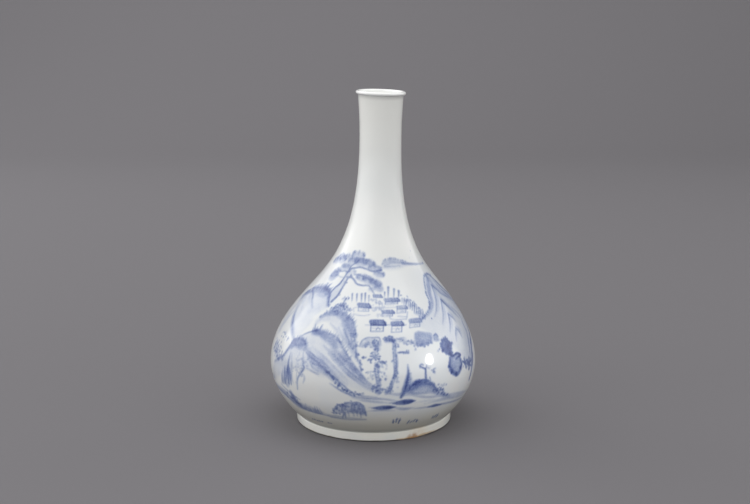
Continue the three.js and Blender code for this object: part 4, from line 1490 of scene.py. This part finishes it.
def turned_form_tree():
    """Geometry nodes that wrap the unrolled sheet round the axis by its outline, as a form turned on
    the wheel, and then lean it, drop its lip and leave the potter's rings on it."""
    group = bpy.data.node_groups.new("Turned Form", "GeometryNodeTree")
    face = group.interface
    face.new_socket("Geometry", in_out="OUTPUT", socket_type="NodeSocketGeometry")
    face.new_socket("Geometry", in_out="INPUT", socket_type="NodeSocketGeometry")
    face.new_socket("Outline", in_out="INPUT", socket_type="NodeSocketObject")
    sizes = (
        "Height",
        "Belly Height",
        "Neck Height",
        "Lip Radius",
        "Lean",
        "Lean Start",
        "Foot Shift",
        "Lip Drop",
        "Ring Depth",
        "Ring Spacing",
        "Warp",
    )
    for name in sizes:
        socket = face.new_socket(name, in_out="INPUT", socket_type="NodeSocketFloat")
        socket.subtype = "DISTANCE"
    face.new_socket("Seed", in_out="INPUT", socket_type="NodeSocketInt")
    face.new_socket("Material", in_out="INPUT", socket_type="NodeSocketMaterial")

    tree = Tree(group)
    given = tree.node("NodeGroupInput").outputs
    turn = tree("GeometryNodeInputNamedAttribute", {"Name": "turn"}, data_type="FLOAT")
    run = tree("GeometryNodeInputNamedAttribute", {"Name": "run"}, data_type="FLOAT")
    curve = tree.node("GeometryNodeObjectInfo", {"Object": given["Outline"]}).outputs["Geometry"]
    on_outline = tree.node("GeometryNodeSampleCurve", {"Curves": curve, "Length": run}, mode="LENGTH")
    outline_place = tree.node("ShaderNodeSeparateXYZ", {"Vector": on_outline.outputs["Position"]}).outputs
    radius, height = outline_place["X"], outline_place["Z"]

    above_foot = tree.ramp(height, tree.math("MULTIPLY", given["Belly Height"], 0.2), given["Belly Height"])
    ring = tree.math("ADD", tree.math("DIVIDE", height, given["Ring Spacing"]), given["Seed"])
    rings = tree("ShaderNodeTexNoise", {"W": ring, "Scale": 1.0, "Detail": 2.0}, noise_dimensions="1D")
    ringed = tree.math(
        "MULTIPLY", tree.math("SUBTRACT", rings, 0.5), tree.math("MULTIPLY", given["Ring Depth"], 2.0)
    )
    oval = tree.math(
        "SINE", tree.math("ADD", tree.math("MULTIPLY", turn, 2.0), tree.math("MULTIPLY", height, 6.0))
    )
    uneven = tree.math("ADD", ringed, tree.math("MULTIPLY", oval, given["Warp"]))
    share_out = tree.ramp(radius, 0.0, given["Lip Radius"])
    uneven = tree.math("MULTIPLY", tree.math("MULTIPLY", uneven, above_foot), share_out)
    radius = tree.math("ADD", radius, uneven)

    up = tree.ramp(height, given["Belly Height"], given["Height"], 0.0, math.pi / 2, smooth=False)
    set_in = tree.ramp(
        height, given["Belly Height"], tree.math("ADD", given["Belly Height"], given["Lean Start"])
    )
    neck_lean = tree.math("MULTIPLY", given["Lean"], tree.math("MULTIPLY", set_in, tree.math("SINE", up)))
    low = tree.ramp(height, 0.0, given["Belly Height"], 1.0, 0.0, smooth=False)
    foot_lean = tree.math("MULTIPLY", given["Foot Shift"], tree.math("POWER", low, 2.0))
    aside = tree.math("MULTIPLY", radius, tree.math("SINE", turn))
    near_lip = tree.ramp(height, given["Neck Height"], given["Height"])
    tilt = tree.math("DIVIDE", given["Lip Drop"], tree.math("MULTIPLY", given["Lip Radius"], 2.0))
    drop = tree.math("MULTIPLY", near_lip, tree.math("MULTIPLY", tilt, aside))
    place = tree(
        "ShaderNodeCombineXYZ",
        {
            "X": tree.math("ADD", aside, tree.math("ADD", neck_lean, foot_lean)),
            "Y": tree.math("MULTIPLY", radius, tree.math("MULTIPLY", tree.math("COSINE", turn), -1.0)),
            "Z": tree.math("SUBTRACT", height, drop),
        },
    )
    wrapped = tree("GeometryNodeSetPosition", {"Geometry": given["Geometry"], "Position": place})
    smooth = tree("GeometryNodeSetShadeSmooth", {"Geometry": wrapped, "Shade Smooth": True})
    real = tree("GeometryNodeRealizeInstances", {"Geometry": smooth})
    glazed = tree("GeometryNodeSetMaterial", {"Geometry": real, "Material": given["Material"]})
    tree.node("NodeGroupOutput", {"Geometry": glazed})
    return group


def outline_curve(places):
    """The outline as a curve, in the plane of X and Z, for the geometry nodes to read."""
    curve = bpy.data.curves.new("outline", "CURVE")
    curve.dimensions = "3D"
    spline = curve.splines.new("POLY")
    spline.points.add(len(places) - 1)
    spots = np.column_stack([places[:, 0], np.zeros(len(places)), places[:, 1], np.ones(len(places))])
    spline.points.foreach_set("co", spots.astype(np.float32).ravel())
    shown = bpy.data.objects.new("outline", curve)
    bpy.context.scene.collection.objects.link(shown)
    return shown


def throw_body(form, paint, material):
    """The bottle's body as one plain mesh: the painted sheet wrapped into the turned form."""
    sheet, places = painted_sheet(form, paint)
    guide = outline_curve(places)
    blank = bpy.data.objects.new("blank", sheet)
    bpy.context.scene.collection.objects.link(blank)
    group = turned_form_tree()
    values = {
        "Outline": guide,
        "Height": form.height,
        "Belly Height": form.belly_height,
        "Neck Height": form.neck_height,
        "Lip Radius": form.mouth_radius + form.lip_overhang,
        "Lean": form.lean,
        "Lean Start": form.lean_start,
        "Foot Shift": form.foot_shift,
        "Lip Drop": form.lip_drop,
        "Ring Depth": form.ring_depth,
        "Ring Spacing": form.ring_spacing,
        "Warp": form.warp,
        "Seed": form.seed,
        "Material": material,
    }
    modifier = blank.modifiers.new("Turned Form", "NODES")
    modifier.node_group = group
    for socket in group.interface.items_tree:
        if socket.in_out == "INPUT" and socket.name in values:
            modifier[socket.identifier] = values[socket.name]
    shaped = blank.evaluated_get(bpy.context.evaluated_depsgraph_get())
    mesh = bpy.data.meshes.new_from_object(shaped)
    for left in (blank, guide):
        bpy.data.objects.remove(left)
    mesh.name = PIECE
    piece = bpy.data.objects.new(PIECE, mesh)
    bpy.context.scene.collection.objects.link(piece)
    return piece


class GlazeTree(Tree):
    """The glaze's nodes, on the bottle's own place and height in metres."""

    def __init__(self, tree):
        super().__init__(tree)
        self.place = self.node("ShaderNodeTexCoord").outputs["Object"]
        self.height = self.node("ShaderNodeSeparateXYZ", {"Vector": self.place}).outputs["Z"]
        self.drift = self.noise(7.0, 1.0)
        self.patch = self.noise(38.0, 2.0)
        self.grit = self.noise(1400.0, 2.0)

    def times(self, first, second):
        return self.math("MULTIPLY", first, second)

    def noise(self, scale, detail=2.0, roughness=0.5):
        inputs = {"Vector": self.place, "Scale": scale, "Detail": detail, "Roughness": roughness}
        return self("ShaderNodeTexNoise", inputs)

    def above(self, start, full, low=0.0, high=1.0):
        """Low at one height and high at another, which may lie lower."""
        return self.ramp(self.height, start, full, low, high)

    def near(self, x, y, z, radius, soft=0.4):
        """1 within a radius of a place, in metres, and 0 a little outside it."""
        ends = {0: self.place, 1: (x, y, z)}
        away = self.node("ShaderNodeVectorMath", ends, operation="DISTANCE").outputs["Value"]
        return self.ramp(away, radius * (1 + soft), radius * (1 - soft))


def glaze_colour(tree, glaze):
    """White glaze that drifts cool and thins to a warm tint up the neck and low on the belly, with painted
    light on the lip, painted shade over and under the belly and in the crease above the foot."""
    warm = tuple(glaze.warm)
    cool = tree.times(tree.ramp(tree.drift, 0.38, 0.66, 0.0, 0.55), tree.above(0.3, 0.2, 0.4, 1.0))
    low_belly = tree.times(tree.above(0.11, 0.03), tree.ramp(tree.patch, 0.35, 0.7, 0.15, 0.8))
    # painted shade low on and under the belly, where it faces down
    under_belly_shade = tree.times(tree.above(0.05, 0.012, 0.0, 0.85), tree.above(0.009, 0.0115, 0.15, 1.0))
    # a narrow band of painted shade in the crease above the foot
    crease = tree.times(tree.above(0.0085, 0.0098), tree.above(0.016, 0.0105))
    body = tree.mix(cool, tuple(glaze.white), tuple(glaze.cool))
    for amount, tint in (
        (tree.above(0.24, 0.34, 0.0, 0.4), warm),
        # painted light on the top of the lip
        (tree.above(0.3455, 0.3475), tuple(glaze.lip)),
        # partly painted shade: the body below the shoulder darkened against the neck
        (tree.above(0.2, 0.15, 0.0, 0.6), tuple(glaze.belly)),
        (low_belly, warm),
        # painted shade under the belly
        (under_belly_shade, tuple(glaze.shade)),
        # painted shade in the crease above the foot
        (tree.times(crease, 0.65), tuple(glaze.pool)),
    ):
        body = tree.mix(amount, body, tint)
    return body


def painted_over(tree, body, paint):
    """The body's colour seen through the cobalt: each step of ink lets through another power of the
    blue."""
    mottle = tree.ramp(tree.noise(620.0, 3.0, 0.65), 0.3, 0.7, 1 - paint.mottle, 1 + paint.mottle)
    pools = tree.ramp(tree.noise(95.0, 2.0), 0.3, 0.7, 0.78, 1.2)
    ink = tree.node("ShaderNodeAttribute", attribute_name="ink").outputs["Fac"]
    ink = tree.times(ink, tree.times(mottle, pools))
    clouded = tree.times(tree.above(0.022, 0.04), tree.above(0.195, 0.16))
    clouded = tree.times(clouded, tree.ramp(tree.drift, 0.3, 0.7, 0.7 * paint.haze, 1.3 * paint.haze))
    ink = tree.times(tree.math("ADD", ink, clouded), paint.strength)
    ramp = tree.node("ShaderNodeValToRGB", {"Fac": tree.math("DIVIDE", ink, FULL_INK)})
    while len(ramp.color_ramp.elements) < INK_STOPS:
        ramp.color_ramp.elements.new(0.5)
    for i, element in enumerate(ramp.color_ramp.elements):
        element.position = i / (INK_STOPS - 1)
        element.color = (*(c ** (FULL_INK * element.position) for c in paint.cobalt), 1)
    return tree.mix(1.0, body, ramp.outputs["Color"], "MULTIPLY")


def iron_specks(tree):
    """Where a few small specks lie, and the two pits that show on the neck and the shoulder."""
    cells = tree.node("ShaderNodeTexVoronoi", {"Vector": tree.place, "Scale": 62.0, "Randomness": 1.0})
    odds = tree.node("ShaderNodeSeparateColor", {"Color": cells.outputs["Color"]}).outputs
    specks = tree.ramp(cells.outputs["Distance"], tree.ramp(odds[1], 0.0, 1.0, 0.012, 0.034, False), 0.004)
    specks = tree.times(specks, tree.math("GREATER_THAN", odds[0], 0.9))
    pits = tree.math("MAXIMUM", *(tree.near(*place) for place in PITS))
    return tree.math("MAXIMUM", specks, tree.times(pits, 0.7))


def worn_foot_and_contact_shadow(tree, body, glaze):
    """The foot ring's bare rim, a painted contact shadow along its bottom where it meets the floor, and the
    kiln's stain at the right. Gives the colour, and how bare and how stained each place is."""
    line = tree.math("ADD", tree.height, tree.ramp(tree.noise(70.0, 3.0), 0.3, 0.7, -0.0006, 0.0009, False))
    bare = tree.ramp(line, 0.0018, 0.0012)
    sandy = tree.mix(tree.ramp(tree.grit, 0.35, 0.7), tuple(glaze.bare), tuple(glaze.grit))
    burnt = tree.times(tree.ramp(line, 0.0009, 0.0015), tree.ramp(line, 0.0035, 0.0019))
    burnt = tree.times(burnt, tree.near(*BURN))
    ragged = tree.ramp(tree.noise(420.0, 3.0, 0.6), 0.3, 0.7, 0.45, 1.0)
    stain = tree.times(tree.math("MAXIMUM", *(tree.near(*place) for place in STAINS)), ragged)
    for amount, tint in (
        (bare, sandy),
        # painted contact shadow: the near-black line along the bottom of the foot
        (tree.above(0.0017, 0.0011, 0.0, 0.93), tuple(glaze.contact_shadow)),
        (tree.times(burnt, tree.ramp(tree.patch, 0.38, 0.58, 0.1, 0.75)), tuple(glaze.burn)),
        (tree.times(tree.times(tree.near(*SMEAR), ragged), 0.34), tuple(glaze.smear)),
        (tree.times(stain, 0.85), tuple(glaze.stain)),
    ):
        body = tree.mix(amount, body, tint)
    return body, bare, stain


def glaze_relief(tree, specks, bare):
    """The glaze's fine orange-peel, the lines of the wheel, the pits of the specks and the grit of the
    bare rim."""
    stretched = tree("ShaderNodeVectorMath", {0: tree.place, 1: (4.0, 4.0, 260.0)}, operation="MULTIPLY")
    wheel = tree("ShaderNodeTexNoise", {"Vector": stretched, "Scale": 1.0, "Detail": 3.0})
    relief = tree.math("ADD", tree.times(tree.noise(330.0, 2.0), 0.6), tree.times(wheel, 0.5))
    relief = tree.math("SUBTRACT", relief, tree.times(specks, 1.5))
    relief = tree.math("ADD", relief, tree.times(tree.times(tree.grit, bare), 4.0))
    return tree("ShaderNodeBump", {"Height": relief, "Strength": 0.5, "Distance": RELIEF})


def glaze_material(glaze, paint):
    """Clear glossy glaze over white porcelain and cobalt brushwork, with a bare, sandy, stained foot
    rim."""
    material = bpy.data.materials.new(SLOT)
    material.use_nodes = True
    tree = GlazeTree(material.node_tree)
    body = painted_over(tree, glaze_colour(tree, glaze), paint)
    specks = iron_specks(tree)
    body = tree.mix(tree.times(specks, 0.75), body, tuple(glaze.speck))
    body, bare, stain = worn_foot_and_contact_shadow(tree, body, glaze)
    rough = tree.ramp(tree.noise(24.0, 3.0), 0.3, 0.7, glaze.roughness, glaze.roughness + 0.05, False)
    rough = tree.math("ADD", rough, tree.times(bare, 0.5))
    rough = tree.math("ADD", rough, tree.times(stain, 0.25))
    shader = tree(
        "ShaderNodeBsdfPrincipled",
        {
            "Base Color": body,
            "Roughness": rough,
            "Normal": glaze_relief(tree, specks, bare),
            "IOR": 1.45,
            "Specular IOR Level": 0.25,
            "Coat Weight": 0.85,
            "Coat Roughness": 0.06,
            "Coat IOR": 1.5,
        },
    )
    tree.node("ShaderNodeOutputMaterial", {"Surface": shader})
    return material


def paper_material(colour_of_paper):
    """Plain matt studio paper."""
    material = bpy.data.materials.new("studio_paper")
    material.use_nodes = True
    tree = Tree(material.node_tree)
    place = tree.node("ShaderNodeTexCoord").outputs["Object"]
    fibre = tree("ShaderNodeTexNoise", {"Vector": place, "Scale": 900.0, "Detail": 2.0})
    tone = tree.mix(
        tree.ramp(fibre, 0.3, 0.7), tuple(0.98 * c for c in colour_of_paper), tuple(colour_of_paper)
    )
    shader = tree(
        "ShaderNodeBsdfPrincipled", {"Base Color": tone, "Roughness": 0.85, "Specular IOR Level": 0.2}
    )
    tree.node("ShaderNodeOutputMaterial", {"Surface": shader})
    return material


def studio_paper(stage):
    """One wide roll of paper: the floor, a long bend and the backdrop."""
    half_width, front, bend_at, bend, top = 5.0, -4.0, 2.2, 2.0, 4.5
    side = [(front, 0.0)]
    for angle in np.linspace(0, math.pi / 2, PAPER_BEND_STEPS + 1):
        side.append((bend_at + bend * math.sin(angle), bend * (1 - math.cos(angle))))
    side.append((bend_at + bend, top))
    vertices = [(x, y, z) for y, z in side for x in (-half_width, half_width)]
    faces = [(2 * i, 2 * i + 1, 2 * i + 3, 2 * i + 2) for i in range(len(side) - 1)]
    mesh = bpy.data.meshes.new("studio_paper")
    mesh.from_pydata(vertices, [], faces)
    mesh.shade_smooth()
    mesh.materials.append(paper_material(stage.floor))
    paper = bpy.data.objects.new("studio_paper", mesh)
    bpy.context.scene.collection.objects.link(paper)
    return paper


def softbox(name, place, target, power, width, height=None):
    """A soft area lamp at a place, turned to a target: a rectangle, or without a height a disc."""
    lamp = bpy.data.lights.new(name, "AREA")
    lamp.energy = power
    lamp.shape = "RECTANGLE" if height else "DISK"
    lamp.size = width
    if height:
        lamp.size_y = height
    holder = bpy.data.objects.new(name, lamp)
    holder.location = place
    aim = np.array(target, float) - np.array(place, float)
    flat = math.hypot(aim[0], aim[1])
    holder.rotation_euler = (math.atan2(flat, -aim[2]), 0, math.atan2(-aim[0], aim[1]))
    bpy.context.scene.collection.objects.link(holder)
    return holder


def room_light(stage):
    """The even light of a room: less from the ceiling and from low in front, and more from the sides."""
    world = bpy.data.worlds.new("room")
    world.use_nodes = True
    room = Tree(world.node_tree)
    way = room.node("ShaderNodeTexCoord").outputs["Generated"]
    along = room.node("ShaderNodeSeparateXYZ", {"Vector": way}).outputs
    strength = room.ramp(along["Z"], 0.2, 0.6, stage.walls, stage.ceiling)
    for share in (
        room.ramp(room.math("ABSOLUTE", along["X"]), 0.3, 0.9, 0.88, 1.3),
        room.ramp(along["X"], 0.2, 0.8, 1.0, 0.92),
        room.ramp(along["Z"], 0.04, 0.22, 0.7, 1.1),
    ):
        strength = room.math("MULTIPLY", strength, share)
    light = room("ShaderNodeBackground", {"Color": (1, 1, 1, 1), "Strength": strength})
    room.node("ShaderNodeOutputWorld", {"Surface": light})
    return world


class BOTTLE_OT_set_stage(bpy.types.Operator):
    """Sets the camera at the photograph's viewing angle, the paper floor and the soft studio light"""

    bl_idname = "bottle.set_stage"
    bl_label = "Set the Stage"

    def execute(self, context):
        scene = context.scene
        stage = scene.bottle_stage
        camera = bpy.data.cameras.new("camera")
        camera.lens = stage.lens
        camera.sensor_width = 36.0
        holder = bpy.data.objects.new("camera", camera)
        holder.location = (stage.aside, -stage.distance, stage.eye)
        holder.rotation_euler = (math.pi / 2 - stage.pitch, 0, 0)
        scene.collection.objects.link(holder)
        scene.camera = holder
        studio_paper(stage)
        for name, (place, target, width, height) in LAMPS.items():
            lamp = softbox(name, place, target, getattr(stage, name), width, height)
            if height is None:
                lamp.data.spread = math.radians(ROUND_SPREAD)
        scene.world = room_light(stage)
        scene.view_settings.view_transform = "Standard"
        return {"FINISHED"}


class BOTTLE_OT_throw_body(bpy.types.Operator):
    """Makes the bottle: the thrown body with its painting, glaze and worn foot"""

    bl_idname = "bottle.throw_body"
    bl_label = "Throw, Paint and Glaze"

    def execute(self, context):
        scene = context.scene
        material = glaze_material(scene.bottle_glaze, scene.bottle_paint)
        piece = throw_body(scene.bottle_form, scene.bottle_paint, material)
        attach(piece, "root")
        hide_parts(NODE)
        return {"FINISHED"}


class BOTTLE_PT_panel(bpy.types.Panel):
    """The bottle's sizes, painting, glaze and stage"""

    bl_idname = "BOTTLE_PT_panel"
    bl_label = "Porcelain Bottle"
    bl_space_type = "VIEW_3D"
    bl_region_type = "UI"
    bl_category = "Bottle"

    def draw(self, context):
        for operator in (BOTTLE_OT_set_stage, BOTTLE_OT_throw_body):
            self.layout.operator(operator.bl_idname)
        for name in GROUPS:
            box = self.layout.box()
            settings = getattr(context.scene, name)
            for key in settings.__annotations__:
                box.prop(settings, key)


GROUPS = {
    "bottle_form": BottleForm,
    "bottle_paint": BottlePaint,
    "bottle_glaze": BottleGlaze,
    "bottle_stage": BottleStage,
}
CLASSES = (*GROUPS.values(), BOTTLE_OT_set_stage, BOTTLE_OT_throw_body, BOTTLE_PT_panel)


def register():
    """Registers the classes and hangs the settings on the scene."""
    for cls in CLASSES:
        bpy.utils.register_class(cls)
    for name, cls in GROUPS.items():
        setattr(bpy.types.Scene, name, bpy.props.PointerProperty(type=cls))


def unregister():
    """Takes the settings and classes away again."""
    for name in GROUPS:
        delattr(bpy.types.Scene, name)
    for cls in reversed(CLASSES):
        bpy.utils.unregister_class(cls)


def main():
    """Makes the stage and the bottle."""
    register()
    bpy.ops.bottle.set_stage()
    bpy.ops.bottle.throw_body()


if __name__ == "__main__":
    main()
